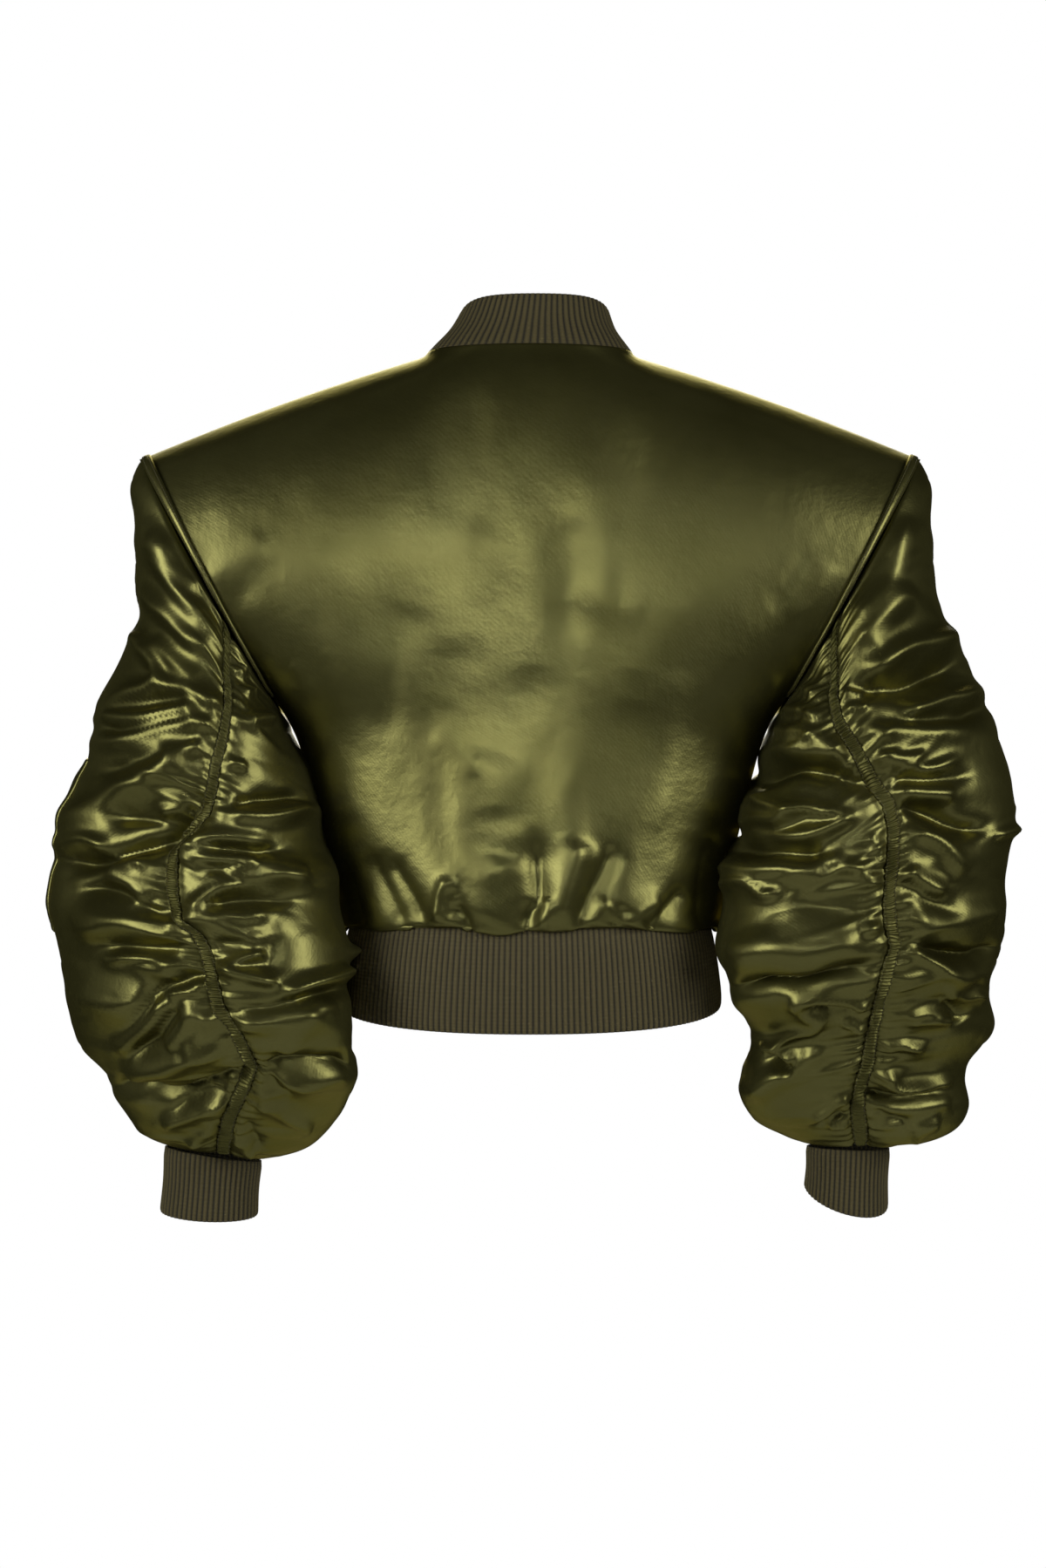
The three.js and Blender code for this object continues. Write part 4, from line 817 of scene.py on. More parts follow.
def two_colours(tree, factor, output, first, second, low=0.35, high=0.65):
    ramp = add_node(tree, "ShaderNodeValToRGB", links={"Fac": (factor, output)})
    ramp.color_ramp.elements[0].position = low
    ramp.color_ramp.elements[0].color = linear(first)
    ramp.color_ramp.elements[1].position = high
    ramp.color_ramp.elements[1].color = linear(second)
    return ramp


def satin_material(name, first, second, roughness):
    """Nylon satin, woven with long floats of dyed filament: dark where it faces no light, and a broad soft
    gloss of its own colour where it does. Its threads lie 0.15 mm apart, too fine to show, so the float
    lines are drawn 0.9 mm apart."""
    material, tree = new_material(name)
    place = add_node(tree, "ShaderNodeTexCoord")
    cloud = add_node(tree, "ShaderNodeTexNoise", {"Scale": 9.0, "Detail": 3.0, "Roughness": 0.55},
                     {"Vector": (place, "Object")})
    colour = two_colours(tree, cloud, "Fac", first, second)
    crumple = add_node(tree, "ShaderNodeTexNoise", {"Scale": 60.0, "Detail": 4.0, "Roughness": 0.6},
                       {"Vector": (place, "Object")})
    floats = add_node(tree, "ShaderNodeTexWave",
                      {"Scale": 177.0, "Distortion": 0.8, "Detail": 1.0, "bands_direction": "DIAGONAL"},
                      {"Vector": (place, "UV")})
    soft = add_node(tree, "ShaderNodeBump", {"Strength": 0.3, "Distance": 0.002},
                    {"Height": (crumple, "Fac")})
    weave = add_node(tree, "ShaderNodeBump", {"Strength": 0.08, "Distance": 0.0002},
                     {"Height": (floats, "Fac"), "Normal": (soft, "Normal")})
    shader = add_node(tree, "ShaderNodeBsdfPrincipled",
                      {"Roughness": roughness, "Metallic": 0.86, "IOR": 1.5, "Anisotropic": 0.35,
                       "Specular Tint": linear("#c8bd7c")},
                      {"Base Color": (colour, "Color"), "Normal": (weave, "Normal")})
    close_material(tree, shader)
    return material


def knit_material(name, ridge, groove):
    """Acrylic and wool 2x1 rib knit: matt ridges, with painted shade darkening the grooves between them, and
    rows of loops 1.6 mm apart.
    """
    material, tree = new_material(name)
    place = add_node(tree, "ShaderNodeTexCoord")
    height = add_node(tree, "ShaderNodeAttribute", {"attribute_name": "ridge"})
    # Painted shade: the ridge share of each point darkens the grooves towards the groove colour.
    colour = two_colours(tree, height, "Fac", groove, ridge, 0.15, 0.9)
    loops = add_node(tree, "ShaderNodeTexWave",
                     {"Scale": 98.0, "Distortion": 2.5, "Detail": 2.0, "bands_direction": "Y"},
                     {"Vector": (place, "UV")})
    fuzz = add_node(tree, "ShaderNodeTexNoise", {"Scale": 900.0, "Detail": 3.0},
                    {"Vector": (place, "Object")})
    rows = add_node(tree, "ShaderNodeBump", {"Strength": 0.45, "Distance": 0.0005},
                    {"Height": (loops, "Fac")})
    hairs = add_node(tree, "ShaderNodeBump", {"Strength": 0.3, "Distance": 0.0004},
                     {"Height": (fuzz, "Fac"), "Normal": (rows, "Normal")})
    shader = add_node(tree, "ShaderNodeBsdfPrincipled",
                      {"Roughness": 0.86, "IOR": 1.45, "Sheen Weight": 0.08, "Sheen Roughness": 0.5,
                       "Sheen Tint": linear("#8d8252")},
                      {"Base Color": (colour, "Color"), "Normal": (hairs, "Normal")})
    close_material(tree, shader)
    return material


def metal_material(name, colour):
    """Die-cast zinc, tumbled and plated: a soft grey shine with fine rub marks."""
    material, tree = new_material(name)
    place = add_node(tree, "ShaderNodeTexCoord")
    marks = add_node(tree, "ShaderNodeTexNoise", {"Scale": 1500.0, "Detail": 4.0},
                     {"Vector": (place, "Object")})
    bump = add_node(tree, "ShaderNodeBump", {"Strength": 0.12, "Distance": 0.0001},
                    {"Height": (marks, "Fac")})
    tone = two_colours(tree, marks, "Fac", colour, "#b4b5b0")
    shader = add_node(tree, "ShaderNodeBsdfPrincipled", {"Roughness": 0.32, "Metallic": 1.0},
                      {"Base Color": (tone, "Color"), "Normal": (bump, "Normal")})
    close_material(tree, shader)
    return material


def thread_material(name, colour):
    """Polyester core thread, twisted: a slight gloss, and twist marks 0.5 mm apart."""
    material, tree = new_material(name)
    place = add_node(tree, "ShaderNodeTexCoord")
    twist = add_node(tree, "ShaderNodeTexNoise", {"Scale": 2000.0}, {"Vector": (place, "Object")})
    tone = two_colours(tree, twist, "Fac", colour, "#57532c")
    shader = add_node(tree, "ShaderNodeBsdfPrincipled", {"Roughness": 0.5, "IOR": 1.5},
                      {"Base Color": (tone, "Color")})
    close_material(tree, shader)
    return material


def plain_material(name, colour):
    """Seamless paper sweep: matt, with a faint tooth."""
    material, tree = new_material(name)
    place = add_node(tree, "ShaderNodeTexCoord")
    tooth = add_node(tree, "ShaderNodeTexNoise", {"Scale": 300.0}, {"Vector": (place, "Object")})
    bump = add_node(tree, "ShaderNodeBump", {"Strength": 0.05, "Distance": 0.0005},
                    {"Height": (tooth, "Fac")})
    shader = add_node(tree, "ShaderNodeBsdfPrincipled", {"Base Color": linear(colour), "Roughness": 0.9},
                      {"Normal": (bump, "Normal")})
    close_material(tree, shader)
    return material


def material_named(name):
    """The jacket's materials, each made once."""
    colours = bpy.context.scene.jacket_colours
    if name in bpy.data.materials:
        return bpy.data.materials[name]
    makers = {
        "Nylon satin, calendered": lambda n: satin_material(n, colours.satin, colours.satin_worn, 0.37),
        "Satin bias tape, gathered": lambda n: satin_material(n, colours.tape, colours.satin, 0.45),
        "Acrylic rib, knitted": lambda n: knit_material(n, colours.rib, colours.rib_groove_shade),
        "Polyester thread, twisted": lambda n: thread_material(n, colours.thread),
        "Zip tape, woven": lambda n: satin_material(n, colours.zip_cloth, "#3b3a20", 0.75),
        "Zinc, plated": lambda n: metal_material(n, colours.zip_metal),
        "Paper sweep": lambda n: plain_material(n, "#dcdcda"),
    }
    return makers[name](name)


SATIN = "Nylon satin, calendered"
TAPE = "Satin bias tape, gathered"
KNIT = "Acrylic rib, knitted"
THREAD = "Polyester thread, twisted"
ZIP_CLOTH = "Zip tape, woven"
ZIP_METAL = "Zinc, plated"


# Stitches, in metres
STITCH_WIDTH = 0.00055
STITCH_RISE = 0.0005
STITCH_LIFT = 0.00012


def stitches(name, rows_of_points, rows_of_normals, length):
    """Rows of lockstitches laid on lines of points, each stitch a low rounded bar."""
    bm = bmesh.new()
    for points, normals in zip(rows_of_points, rows_of_normals):
        steps = np.linalg.norm(np.diff(points, axis=0), axis=-1)
        run = np.concatenate([[0], np.cumsum(steps)])
        count = int(run[-1] / (length / MM))
        for k in range(count):
            ends = [np.array([np.interp(s, run, points[:, i]) for i in range(3)])
                    for s in ((k + 0.14) * run[-1] / count, (k + 0.86) * run[-1] / count)]
            up = np.array([np.interp((k + 0.5) * run[-1] / count, run, normals[:, i]) for i in range(3)])
            start, end = (Vector(p * MM) for p in ends)
            up = Vector(up).normalized()
            across = (end - start).cross(up).normalized()
            made = bmesh.ops.create_cube(bm, size=1.0)["verts"]
            for vert in made:
                x, y, z = vert.co
                middle = start.lerp(end, x + 0.5)
                vert.co = middle + across * (y * STITCH_WIDTH) + up * (z * STITCH_RISE + STITCH_LIFT)
    mesh = bpy.data.meshes.new(name)
    bm.to_mesh(mesh)
    bm.free()
    piece = bpy.data.objects.new(name, mesh)
    bpy.context.scene.collection.objects.link(piece)
    for polygon in mesh.polygons:
        polygon.use_smooth = True
    return finish_piece(piece, material_named(THREAD))


# Panels

BACK_COLUMNS = 85
FRONT_COLUMNS = 60
BODY_LOW_ROWS = 70
BODY_HIGH_ROWS = 84


def hold_edges(rows, columns, top, bottom, left, right):
    """1 along the sides of a grid that stay, 0 inside; each side is given the rows over which it lets go."""
    r = np.arange(rows)[:, None]
    c = np.arange(columns)[None, :]
    free = np.ones((rows, columns))
    for distance, reach in ((r, bottom), (rows - 1 - r, top), (c, left), (columns - 1 - c, right)):
        if reach:
            free = free * smooth(distance / reach)
    return 1 - free


def mirrored_rows(left, right):
    """Joins two halves of a panel at the middle column that they share."""
    return np.concatenate([left[:, ::-1], right[:, 1:]], axis=1)


def back_grid():
    """Points of the back panel with its gathers, swells and the edge that hangs over the waistband."""
    column, level, angle, half = body_half(1, BACK_COLUMNS, COLUMNS)
    points = mirrored_rows(half, half * np.array([-1, 1, 1]))
    points = relax(points, hold_edges(*points.shape[:2], 6, 14, 6, 6), RELAX_PASSES)
    place = mirrored_rows(column / COLUMNS, -column / COLUMNS)
    level = mirrored_rows(level, level)
    angle = mirrored_rows(angle, angle)
    share = np.abs(place)
    out = unit(points * np.array([1, 1, 0]))
    z = points[..., 2]
    edge = smooth((1 - share) * 10)
    start = smooth(level / 0.7)
    x, seen_z = as_seen(points)
    low = WAIST_FOLD_DEPTH * folds_at(WAIST_FOLDS, x, seen_z) * edge * start
    bent_x = x + 8 * soft_noise(points, 50, 3)
    bent_z = seen_z + 6 * soft_noise(points, 45, 4)
    high = BACK_FOLD_DEPTH * folds_at(BACK_FOLDS, bent_x, bent_z, 1.9, 1.8)
    swell = points * np.array([1, 1, 0.45])
    cloudy = 2.6 * soft_noise(swell, 62, 21) + 0.9 * soft_noise(swell, 27, 22)
    shoulder = smooth(angle / 40)
    seams = seam_dip((1 - share) * 240, 1.4, 4)
    relief = low + (high + cloudy) * shoulder * edge * start + seams * smooth(angle / 20)
    points = points + out * relief[..., None]
    hang = np.interp(x, SEAM_HANG[:, 0], SEAM_HANG[:, 1])
    points[..., 2] -= hang * start * edge * np.exp(-np.maximum(0, z - BODY_LEVELS[1][0]) / SEAM_HANG_REACH)
    return points


class JACKET_OT_back(bpy.types.Operator):
    """Back panel, gathered into the waistband"""
    bl_idname = "jacket.back"
    bl_label = "Back"

    def execute(self, context):
        points = back_grid()
        piece = grid_object("shell_back", points, np.array([0, -40, -300.0]))
        finish_piece(piece, material_named(SATIN), ["back"],
                     context.scene.jacket_sizes.shell_thickness)
        return {"FINISHED"}


def front_grid(side):
    """Points of one front panel; side is 1 for the wearer's left and -1 for the right."""
    column, level, angle, points = body_half(-1, FRONT_COLUMNS, FRONT_SPANS)
    share = column / FRONT_SPANS
    points[..., 0] = np.maximum(points[..., 0], mix(ZIP_HALF_GAP, 0, smooth(share * 6)))
    points = relax(points, hold_edges(*points.shape[:2], 6, 14, 3, 6), RELAX_PASSES)
    out = unit(points * np.array([1, 1, 0]))
    z = points[..., 2]
    edge = smooth((1 - share) * 6) * smooth(share * 12)
    start = smooth(level / 0.7)
    low = gathers_at(FRONT_GATHERS, share, z) * edge * start * smooth((UNDERARM_Z + 60 - z) / 120)
    swell = points * np.array([side, 1, 0.45])
    cloudy = 1.6 * soft_noise(swell, 60, 31) + 0.7 * soft_noise(swell, 26, 32)
    relief = low + cloudy * smooth(angle / 40) * edge * start
    relief += seam_dip((1 - share) * 240) * smooth(angle / 20) + seam_dip(share * 230, 1.5, 5)
    points = points + out * relief[..., None]
    return points * np.array([side, 1, 1])


class JACKET_OT_fronts(bpy.types.Operator):
    """Two plain front panels"""
    bl_idname = "jacket.fronts"
    bl_label = "Fronts"

    def execute(self, context):
        for side, sign in (("left", 1), ("right", -1)):
            piece = grid_object(f"shell_front_{side}", front_grid(sign), np.array([sign * 120, 60, -300.0]))
            finish_piece(piece, material_named(SATIN), [f"front_{side}"],
                         context.scene.jacket_sizes.shell_thickness)
        return {"FINISHED"}


SLEEVE_ROWS = 300
SLEEVE_OUTER_COLUMNS = 78
SLEEVE_INNER_COLUMNS = 70


class JACKET_OT_sleeves(bpy.types.Operator):
    """Outer and inner panels of both sleeves, with their creases and the puckers of the gathered seam"""
    bl_idname = "jacket.sleeves"
    bl_label = "Sleeves"

    def execute(self, context):
        sizes = context.scene.jacket_sizes
        for side in ("left", "right"):
            for part, columns, area in (("outer", SLEEVE_OUTER_COLUMNS, 0.24),
                                        ("inner", SLEEVE_INNER_COLUMNS, 0.2)):
                points, middle = sleeve_panel(side, part, SLEEVE_ROWS, columns, sizes)
                piece = grid_object(f"shell_sleeve_{part}_{side}", points, middle)
                finish_piece(piece, material_named(SATIN), [f"sleeve_{part}_{side}"],
                             sizes.shell_thickness)
        return {"FINISHED"}


TAPE_ROWS = 900
TAPE_COLUMNS = 9
PLEAT_PITCH = 3.4


def tape_grid(side, sizes):
    """Points of one gathered tape, pleated where the seam draws it up."""
    places = np.linspace(0.12, LAST_RING - 0.04, TAPE_ROWS)
    tape = tape_angles(side, places)[:, None]
    ring = curve_through(SLEEVE_RINGS[side], places)
    radius = np.maximum(ring[:, 6], 40)[:, None] * 1.1
    across = np.linspace(-1, 1, TAPE_COLUMNS)[None, :]
    half = np.degrees(TAPE_HALF_WIDTH / radius)
    place = np.broadcast_to(places[:, None], (TAPE_ROWS, TAPE_COLUMNS))
    angle = tape + across * half
    points, out = sleeve_points(side, place, angle)
    middle = sleeve_middle(side, place)
    relief = sleeve_relief(side, "outer", points, place, np.broadcast_to(tape, angle.shape), tape, sizes)
    relief = np.mean(relief, axis=1, keepdims=True) + 0 * angle
    points = points + out * relief[..., None]
    steps = np.linalg.norm(np.diff(points[:, TAPE_COLUMNS // 2], axis=0), axis=-1)
    run = np.concatenate([[0], np.cumsum(steps)])[:, None]
    wander = 1.6 * soft_noise(points, 9, 41) + 0.9 * across
    phase = 2 * np.pi * (run + wander) / PLEAT_PITCH
    pleat = (0.5 + 0.5 * np.sin(phase)) * (0.7 + 0.5 * soft_noise(points, 12, 42))
    flat = smooth((1 - np.abs(across)) * 5)
    lift = 1.5 + 2.6 * pleat * mix(0.35, 1, flat) - 0.8 * np.exp(-((np.abs(across) - 0.78) / 0.1) ** 2)
    lift = lift - 1.6 * smooth((np.abs(across) - 0.85) / 0.15)
    edge = np.sign(across) * 0.5 * np.sin(phase * 0.5) * smooth(np.abs(across))
    side_way = np.gradient(points, axis=1)
    side_way = unit(side_way)
    points = points + out * lift[..., None] + side_way * edge[..., None]
    if side == "right":
        points = points * np.array([-1, 1, 1])
        middle = middle * np.array([-1, 1, 1])
        out = out * np.array([-1, 1, 1])
    return points, middle, out


class JACKET_OT_tapes(bpy.types.Operator):
    """Gathered tapes over the back seams of the sleeves, with two rows of stitches each"""
    bl_idname = "jacket.tapes"
    bl_label = "Sleeve tapes"

    def execute(self, context):
        sizes = context.scene.jacket_sizes
        for side in ("left", "right"):
            points, middle, out = tape_grid(side, sizes)
            piece = grid_object(f"gather_tape_{side}", points, middle)
            finish_piece(piece, material_named(TAPE), [f"sleeve_tape_{side}"], 0.0008)
            lines = [points[:, 1], points[:, -2]]
            stitches(f"tape_stitches_{side}", lines, [out[:, 1], out[:, -2]], sizes.stitch_length)
        return {"FINISHED"}


BAND_ROWS = 120
BAND_COLUMNS = 10


def band_grid(sign):
    """Points of the folded band beside an armhole, from near the underarm to the shoulder."""
    angle = np.linspace(152, 1.5, BAND_ROWS)
    column = COLUMNS - 1 + np.linspace(0, 0.84, BAND_COLUMNS)
    column, angle = np.meshgrid(column, angle)
    points = body_surface(column, np.full(column.shape, 10.0), angle, 1)
    out = normals_of(points, np.array([150, -200, -300.0]))
    across = np.linspace(-1, 1, BAND_COLUMNS)[None, :]
    shape = 1 - power(np.abs(across), 6)
    grooves = np.exp(-((np.abs(across) - 0.62) / 0.12) ** 2)
    pucker = 0.25 * soft_noise(points, 7, 51)
    row = np.arange(BAND_ROWS)[:, None]
    ends = smooth((BAND_ROWS - 1 - row) / 4) * smooth(row / 6)
    lift = -1.6 + (2.8 * shape - 0.55 * grooves + pucker) * mix(0.6, 1, ends)
    points = points + out * lift[..., None]
    return points * np.array([sign, 1, 1]), out * np.array([sign, 1, 1])


class JACKET_OT_bands(bpy.types.Operator):
    """Topstitched bands on the body beside the armholes"""
    bl_idname = "jacket.bands"
    bl_label = "Armhole bands"

    def execute(self, context):
        sizes = context.scene.jacket_sizes
        for side, sign in (("left", 1), ("right", -1)):
            points, out = band_grid(sign)
            piece = grid_object(f"stitched_band_{side}", points, np.array([sign * 150, -100, -300.0]))
            finish_piece(piece, material_named(SATIN), [f"armhole_band_{side}"], 0.0012)
            stitches(f"band_stitches_{side}", [points[:, 2], points[:, -3]], [out[:, 2], out[:, -3]],
                     sizes.stitch_length)
        return {"FINISHED"}


# Knit ribs

def evenly(line, count, closed=False):
    """Points at equal distances along a line."""
    path = np.concatenate([line, line[:1]]) if closed else line
    run = np.concatenate([[0], np.cumsum(np.linalg.norm(np.diff(path, axis=0), axis=-1))])
    wanted = np.linspace(0, run[-1], count)
    return np.stack([np.interp(wanted, run, path[:, i]) for i in range(3)], -1), run[-1]


def ribbed_grid(lines, pitch, height, closed=False, fade_top=0.0, tuck=True):
    """Rows of points through some lines, from bottom to top, with knit ridges round the band."""
    length = np.linalg.norm(np.diff(lines[0], axis=0), axis=-1).sum()
    ribs = round(length / pitch)
    count = ribs * SAMPLES_PER_RIB + 1
    even = np.stack([evenly(line, count, closed)[0] for line in lines])
    rows = 22
    places = np.linspace(0, len(lines) - 1, rows)
    points = np.stack([curve_through(even[:, c], places) for c in range(count)], 1)
    phase = np.broadcast_to(np.arange(count)[None, :] / SAMPLES_PER_RIB, (rows, count))
    ridge = power(0.5 - 0.5 * np.cos(2 * np.pi * phase), 0.55)
    share = (np.arange(rows) / (rows - 1))[:, None]
    fade = mix(1, 0.25, smooth((share - (1 - fade_top)) / max(fade_top, 1e-6))) if fade_top else 1
    out = unit(points * np.array([1, 1, 0]) - np.mean(points, axis=(0, 1)) * np.array([1, 1, 0]))
    lift = height * (ridge * fade - 0.4)
    if tuck:
        lift = lift - 1.1 * np.exp(-share * rows / 0.9)
    points = points + out * lift[..., None]
    # The ridge share is also handed on as the mask of the painted shade in the knit's grooves.
    return points, out, ridge * np.ones((rows, 1))


def section_line(half, back, front, level, gap=ZIP_HALF_GAP):
    """A line round the body from one edge of the front opening to the other."""
    start = math.asin((gap / half) ** (BODY_ROUNDNESS / 2))
    a = np.linspace(start, 2 * math.pi - start, 361)
    s = np.sin(a)
    c = -np.cos(a)
    x = half * np.sign(s) * np.abs(s) ** (2 / BODY_ROUNDNESS)
    y = np.where(c > 0, back, front) * np.sign(c) * np.abs(c) ** (2 / BODY_ROUNDNESS)
    return np.stack([x, y, level(y)], -1)


class JACKET_OT_waistband(bpy.types.Operator):
    """Deep knit rib waistband"""
    bl_idname = "jacket.waistband"
    bl_label = "Waistband"

    def execute(self, context):
        sizes = context.scene.jacket_sizes
        z, half, back, front = BODY_LEVELS[0]
        b = WAISTBAND_BOTTOM
        inset = RIB_SEAM_INSET

        def bottom_level(y):
            return b["z"] - np.where(y > 0, b["back_dip"] * y / b["back"], -b["front_dip"] * y / b["front"])

        top = section_line(half - inset, back - inset, front - inset, lambda y: z - 0.3 + 0 * y)
        bottom = section_line(b["half"], b["back"], b["front"], bottom_level)
        middle = (top + bottom) / 2 + unit(top * np.array([1, 1, 0])) * 1.0
        points, out, ridge = ribbed_grid([bottom, middle, top], sizes.rib_pitch / MM, sizes.rib_height / MM,
                                         fade_top=0.35)
        share = np.linspace(0, 1, points.shape[0])[:, None]
        wave = RIB_WAVE * soft_noise(points * np.array([1, 1, 0.3]), 26, 61)
        wave = wave * smooth(share * 4) * smooth((1 - share) * 3)
        points = points + out * wave[..., None]
        piece = grid_object("rib_waistband", points, np.array([0, 0, -570.0]), shade=ridge)
        finish_piece(piece, material_named(KNIT), ["waistband"], sizes.rib_thickness)
        return {"FINISHED"}


class JACKET_OT_collar(bpy.types.Operator):
    """Knit rib stand collar, flared where it meets the body"""
    bl_idname = "jacket.collar"
    bl_label = "Collar"

    def execute(self, context):
        sizes = context.scene.jacket_sizes
        start = math.asin(ZIP_HALF_GAP / NECK_HALF)
        turn = np.linspace(start, 2 * math.pi - start, 361)
        s, c = np.sin(turn), -np.cos(turn)
        y = c * np.where(c > 0, NECK_BACK, NECK_FRONT)
        base = np.stack([s * NECK_HALF, y, neck_height(y) + 0.2], -1)
        t = COLLAR_TOP
        top_y = c * np.where(c > 0, t["back"], t["front"])
        share = (t["back"] - top_y) / (t["back"] + t["front"])
        top_z = t["level"] - t["drop"] * power(share, t["power"])
        top = np.stack([t["shift"] + s * t["half"], top_y, top_z], -1)
        middle = (base + top) / 2 - unit(base * np.array([1, 1, 0])) * COLLAR_MIDDLE_INSET
        points, out, ridge = ribbed_grid([top, middle, base], FINE_RIB_PITCH, sizes.rib_height / MM,
                                         fade_top=0.25)
        piece = grid_object("rib_collar", points, np.array([0, 0, 0.0]), shade=ridge)
        finish_piece(piece, material_named(KNIT), ["collar"], sizes.rib_thickness)
        return {"FINISHED"}


class JACKET_OT_cuffs(bpy.types.Operator):
    """Knit rib cuffs"""
    bl_idname = "jacket.cuffs"
    bl_label = "Cuffs"

    def execute(self, context):
        sizes = context.scene.jacket_sizes
        for side, sign in (("left", 1), ("right", -1)):
            cuff = CUFFS[side]
            angle = np.linspace(0, 360, 361)
            top = sleeve_surface(side, np.full(361, float(LAST_RING)), angle) - np.array([0, 0, 0.5])
            x = top[:, 0]
            to_outer = (x - x.min()) / (x.max() - x.min())
            at_back = np.maximum(0, np.sin(np.radians(angle)))
            drop = mix(cuff["inner"], cuff["outer"], to_outer) + cuff["dip"] * at_back
            bottom = top + np.stack([np.full(361, float(cuff["lean"])), 0 * x, -drop], -1)
            middle = (top + bottom) / 2
            middle = middle - unit((middle - middle.mean(axis=0)) * np.array([1, 1, 0])) * 1.2
            centre = top.mean(axis=0)
            lines = [(line - centre) * np.array([sign, 1, 1]) for line in (bottom, middle, top)]
            points, out, ridge = ribbed_grid(lines, FINE_RIB_PITCH, sizes.rib_height / MM, fade_top=0.2)
            points = points + centre * np.array([sign, 1, 1])
            middle_point = points.mean(axis=(0, 1))
            piece = grid_object(f"rib_cuff_{side}", points, middle_point, wrap=True, shade=ridge)
            finish_piece(piece, material_named(KNIT), [f"cuff_{side}"], sizes.rib_thickness)
        return {"FINISHED"}


# Pocket and zip

class JACKET_OT_pocket(bpy.types.Operator):
    """Plain patch pocket on the outside of the wearer's left sleeve"""
    bl_idname = "jacket.pocket"
    bl_label = "Sleeve pocket"

    def execute(self, context):
        sizes = context.scene.jacket_sizes
        rows, columns = 90, 44
        places = np.linspace(5, 8, rows)
        angle = np.linspace(-54, 13, columns)
        place, angle = np.meshgrid(places, angle, indexing="ij")
        points, out = sleeve_points("left", place, angle)
        middle = sleeve_middle("left", place)
        tape = tape_angles("left", places)[:, None]
        relief = sleeve_relief("left", "outer", points, place, angle, tape, sizes)
        u = np.linspace(-1, 1, columns)[None, :]
        v = np.linspace(-1, 1, rows)[:, None]
        edge = np.maximum(power(np.abs(u), 24), power(np.abs(v), 40))
        points = points + out * (relief + 2.6 - 1.8 * edge)[..., None]
        piece = grid_object("pocket", points, middle)
        finish_piece(piece, material_named(SATIN), ["sleeve_pocket"], 0.0016)
        return {"FINISHED"}


TOOTH_PITCH = 2.6
TOOTH_SIZE = (2.8, 1.35, 1.5)
TOOTH_TAIL = 0.72
TEETH_TOP = -97
TEETH_BOTTOM = -612


def zip_line():
    """Points down the centre front, from the neck seam to the waistband's lower edge."""
    level, angle = body_rows(40, 60)
    keep = (angle < 180) | (level > 3)
    column = np.zeros(keep.sum())
    points = body_surface(column, level[keep], angle[keep], -1, 11)[::-1]
    z, _, _, front = BODY_LEVELS[0]
    b = WAISTBAND_BOTTOM
    band = np.array([(0, -front, z - 0.3), (0, -b["front"], b["z"] - b["front_dip"])])
    points = np.concatenate([points, band])
    points[:, 0] = 0
    even, length = evenly(points, 241)
    for _ in range(6):
        even[1:-1] = (even[:-2] + 2 * even[1:-1] + even[2:]) / 4
    tangent = unit(np.gradient(even, axis=0))
    out = unit(np.cross(tangent, np.array([1.0, 0, 0])))
    out = out * np.sign(-out[:, 1:2])
    return even, out, length


class JACKET_OT_zip(bpy.types.Operator):
    """Zip tapes with metal teeth, and the finish of the slider and its pull tab"""
    bl_idname = "jacket.zip"
    bl_label = "Front zip"

    def execute(self, context):
        line, out, length = zip_line()
        for side, sign in (("left", 1), ("right", -1)):
            xs = np.linspace(0.15, 5.7, 7)
            points = np.stack([line + np.array([sign * x, 0, 0]) - out * 1.0 for x in xs], 1)
            piece = grid_object(f"zip_cloth_{side}", points, np.array([0, 100, -300.0]))
            finish_piece(piece, material_named(ZIP_CLOTH), [f"zip_tape_{side}"], 0.0012)
            bm = bmesh.new()
            count = int(length / TOOTH_PITCH)
            run = np.linspace(0, len(line) - 1, count * 2 + 1)[(1 if sign > 0 else 2)::2]
            for place in run:
                at = curve_through(line, np.array([place]))[0]
                up = curve_through(out, np.array([place]))[0]
                if at[2] > TEETH_TOP or at[2] < TEETH_BOTTOM:
                    continue
                along = np.cross(up, [1.0, 0, 0])
                made = bmesh.ops.create_cube(bm, size=1.0)["verts"]
                for vert in made:
                    x, y, z = vert.co
                    slim = 1.0 if x * sign > 0 else TOOTH_TAIL
                    offset = np.array([sign * (1.3 + x * sign * TOOTH_SIZE[0]), 0, 0])
                    offset = offset + along * (y * TOOTH_SIZE[1] * slim)
                    vert.co = (at + offset + up * (z * TOOTH_SIZE[2] * slim - 0.2)) * MM
            mesh = bpy.data.meshes.new(f"zip_teeth_{side}")
            bm.to_mesh(mesh)
            bm.free()
            teeth = bpy.data.objects.new(f"zip_teeth_{side}", mesh)
            context.scene.collection.objects.link(teeth)
            finish_piece(teeth, material_named(ZIP_METAL))
        for node in ("zip_slider", "zip_pull"):
            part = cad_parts[node]
            part.data.materials.clear()
            part.data.materials.append(material_named(ZIP_METAL))
        return {"FINISHED"}


# Stage, in metres and watts. A lamp is its name, place, size, spread in degrees and power.
FLOOR_RADIUS = 1.6
FLOOR_LEVEL = -1.5
ROOM_LIGHT = 0.012
LAMP_TARGET = (0, 0, -0.36)
LAMPS = (
    ("key", (2.6, 2.2, 0.35), (1.3, 2.0), 180, 84),
    ("side", (-2.7, 2.0, 0.45), (1.3, 2.0), 180, 72),
    ("middle", (0.3, 3.6, 0.35), (0.5, 0.25), 14, 0.2),
    ("front_fill", (0.0, -3.0, 0.6), (2.0, 2.0), 180, 75),
)


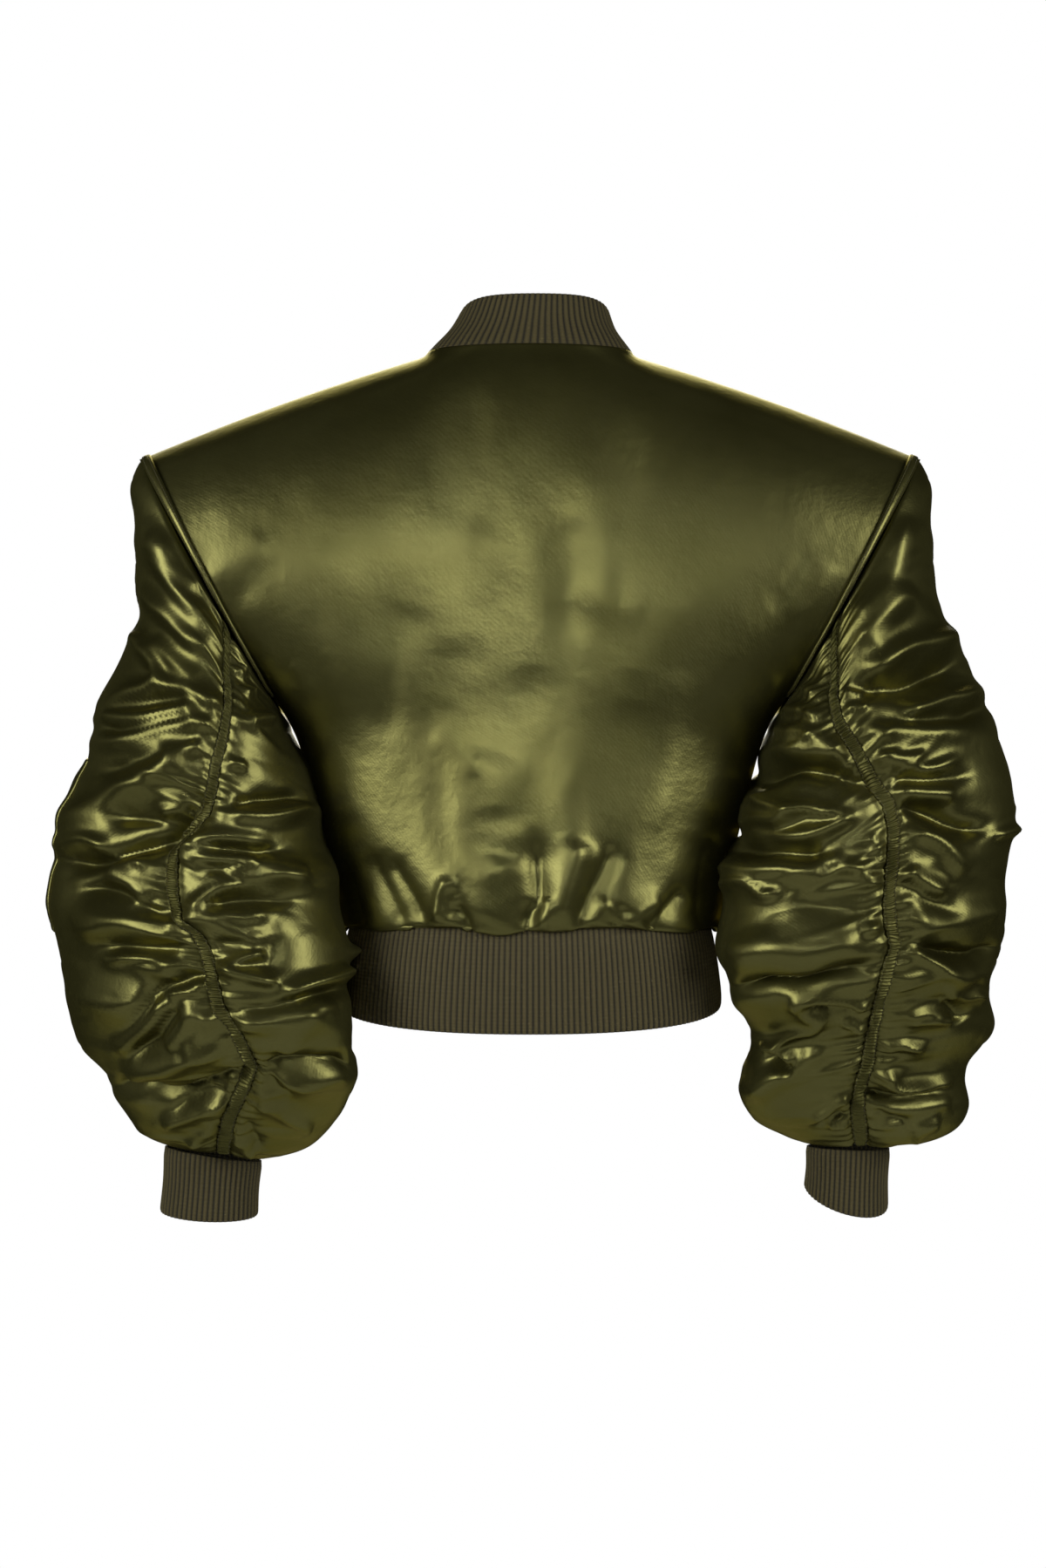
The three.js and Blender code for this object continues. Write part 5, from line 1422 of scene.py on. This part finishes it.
class JACKET_OT_stage(bpy.types.Operator):
    """Pale floor, soft studio lights and the camera behind the jacket"""
    bl_idname = "jacket.stage"
    bl_label = "Floor, lights and camera"

    def execute(self, context):
        scene = context.scene
        bm = bmesh.new()
        bmesh.ops.create_circle(bm, cap_ends=True, segments=96, radius=FLOOR_RADIUS)
        bmesh.ops.translate(bm, verts=bm.verts, vec=(0, 0, FLOOR_LEVEL))
        mesh = bpy.data.meshes.new("floor")
        bm.to_mesh(mesh)
        bm.free()
        floor = bpy.data.objects.new("floor", mesh)
        floor.data.materials.append(material_named("Paper sweep"))
        scene.collection.objects.link(floor)
        world = bpy.data.worlds.new("Studio")
        world.use_nodes = True
        tree = world.node_tree
        tree.nodes.clear()
        path = add_node(tree, "ShaderNodeLightPath")
        room = add_node(tree, "ShaderNodeBackground", {"Color": (1, 1, 1, 1), "Strength": ROOM_LIGHT})
        sweep = add_node(tree, "ShaderNodeBackground", {"Color": (1, 1, 1, 1), "Strength": 1.0})
        both = add_node(tree, "ShaderNodeMixShader", links={"Fac": (path, "Is Camera Ray")})
        tree.links.new(room.outputs[0], both.inputs[1])
        tree.links.new(sweep.outputs[0], both.inputs[2])
        add_node(tree, "ShaderNodeOutputWorld", links={"Surface": (both, "Shader")})
        scene.world = world
        scene.view_settings.view_transform = "Standard"
        for name, place, size, spread, watts in LAMPS:
            lamp = bpy.data.lights.new(name, "AREA")
            lamp.shape = "RECTANGLE"
            lamp.size, lamp.size_y = size
            lamp.spread = math.radians(spread)
            lamp.energy = watts
            light = bpy.data.objects.new(name, lamp)
            light.location = place
            aim = Vector(LAMP_TARGET) - Vector(place)
            light.rotation_euler = aim.to_track_quat("-Z", "Y").to_euler()
            scene.collection.objects.link(light)
        lens = bpy.data.cameras.new("camera")
        lens.sensor_fit = "AUTO"
        lens.sensor_width = SENSOR_WIDTH
        lens.lens = SENSOR_WIDTH * VIEW_DISTANCE / VIEW_HEIGHT
        camera = bpy.data.objects.new("camera", lens)
        camera.location = (VIEW_X * MM, VIEW_DISTANCE * MM, VIEW_Z * MM)
        camera.rotation_euler = (math.radians(90), 0, math.radians(180))
        scene.collection.objects.link(camera)
        scene.camera = camera
        return {"FINISHED"}


OPERATORS = (JACKET_OT_back, JACKET_OT_fronts, JACKET_OT_sleeves, JACKET_OT_tapes, JACKET_OT_bands,
             JACKET_OT_waistband, JACKET_OT_collar, JACKET_OT_cuffs, JACKET_OT_pocket, JACKET_OT_zip,
             JACKET_OT_stage)


class JACKET_PT_panel(bpy.types.Panel):
    """Lists the pieces of the jacket with their sizes and colours"""
    bl_idname = "JACKET_PT_panel"
    bl_label = "Bomber jacket"
    bl_space_type = "VIEW_3D"
    bl_region_type = "UI"
    bl_category = "Jacket"

    def draw(self, context):
        for operator in OPERATORS:
            self.layout.operator(operator.bl_idname)
        for group in (context.scene.jacket_sizes, context.scene.jacket_colours):
            for name in group.__annotations__:
                self.layout.prop(group, name)


CLASSES = (JacketSizes, JacketColours, *OPERATORS, JACKET_PT_panel)


def register():
    for item in CLASSES:
        bpy.utils.register_class(item)
    bpy.types.Scene.jacket_sizes = bpy.props.PointerProperty(type=JacketSizes)
    bpy.types.Scene.jacket_colours = bpy.props.PointerProperty(type=JacketColours)


def unregister():
    del bpy.types.Scene.jacket_colours
    del bpy.types.Scene.jacket_sizes
    for item in reversed(CLASSES):
        bpy.utils.unregister_class(item)


def main():
    register()
    bpy.ops.jacket.stage()
    bpy.ops.jacket.back()
    bpy.ops.jacket.fronts()
    bpy.ops.jacket.sleeves()
    bpy.ops.jacket.tapes()
    bpy.ops.jacket.bands()
    bpy.ops.jacket.waistband()
    bpy.ops.jacket.collar()
    bpy.ops.jacket.cuffs()
    bpy.ops.jacket.pocket()
    bpy.ops.jacket.zip()


if __name__ == "__main__":
    main()
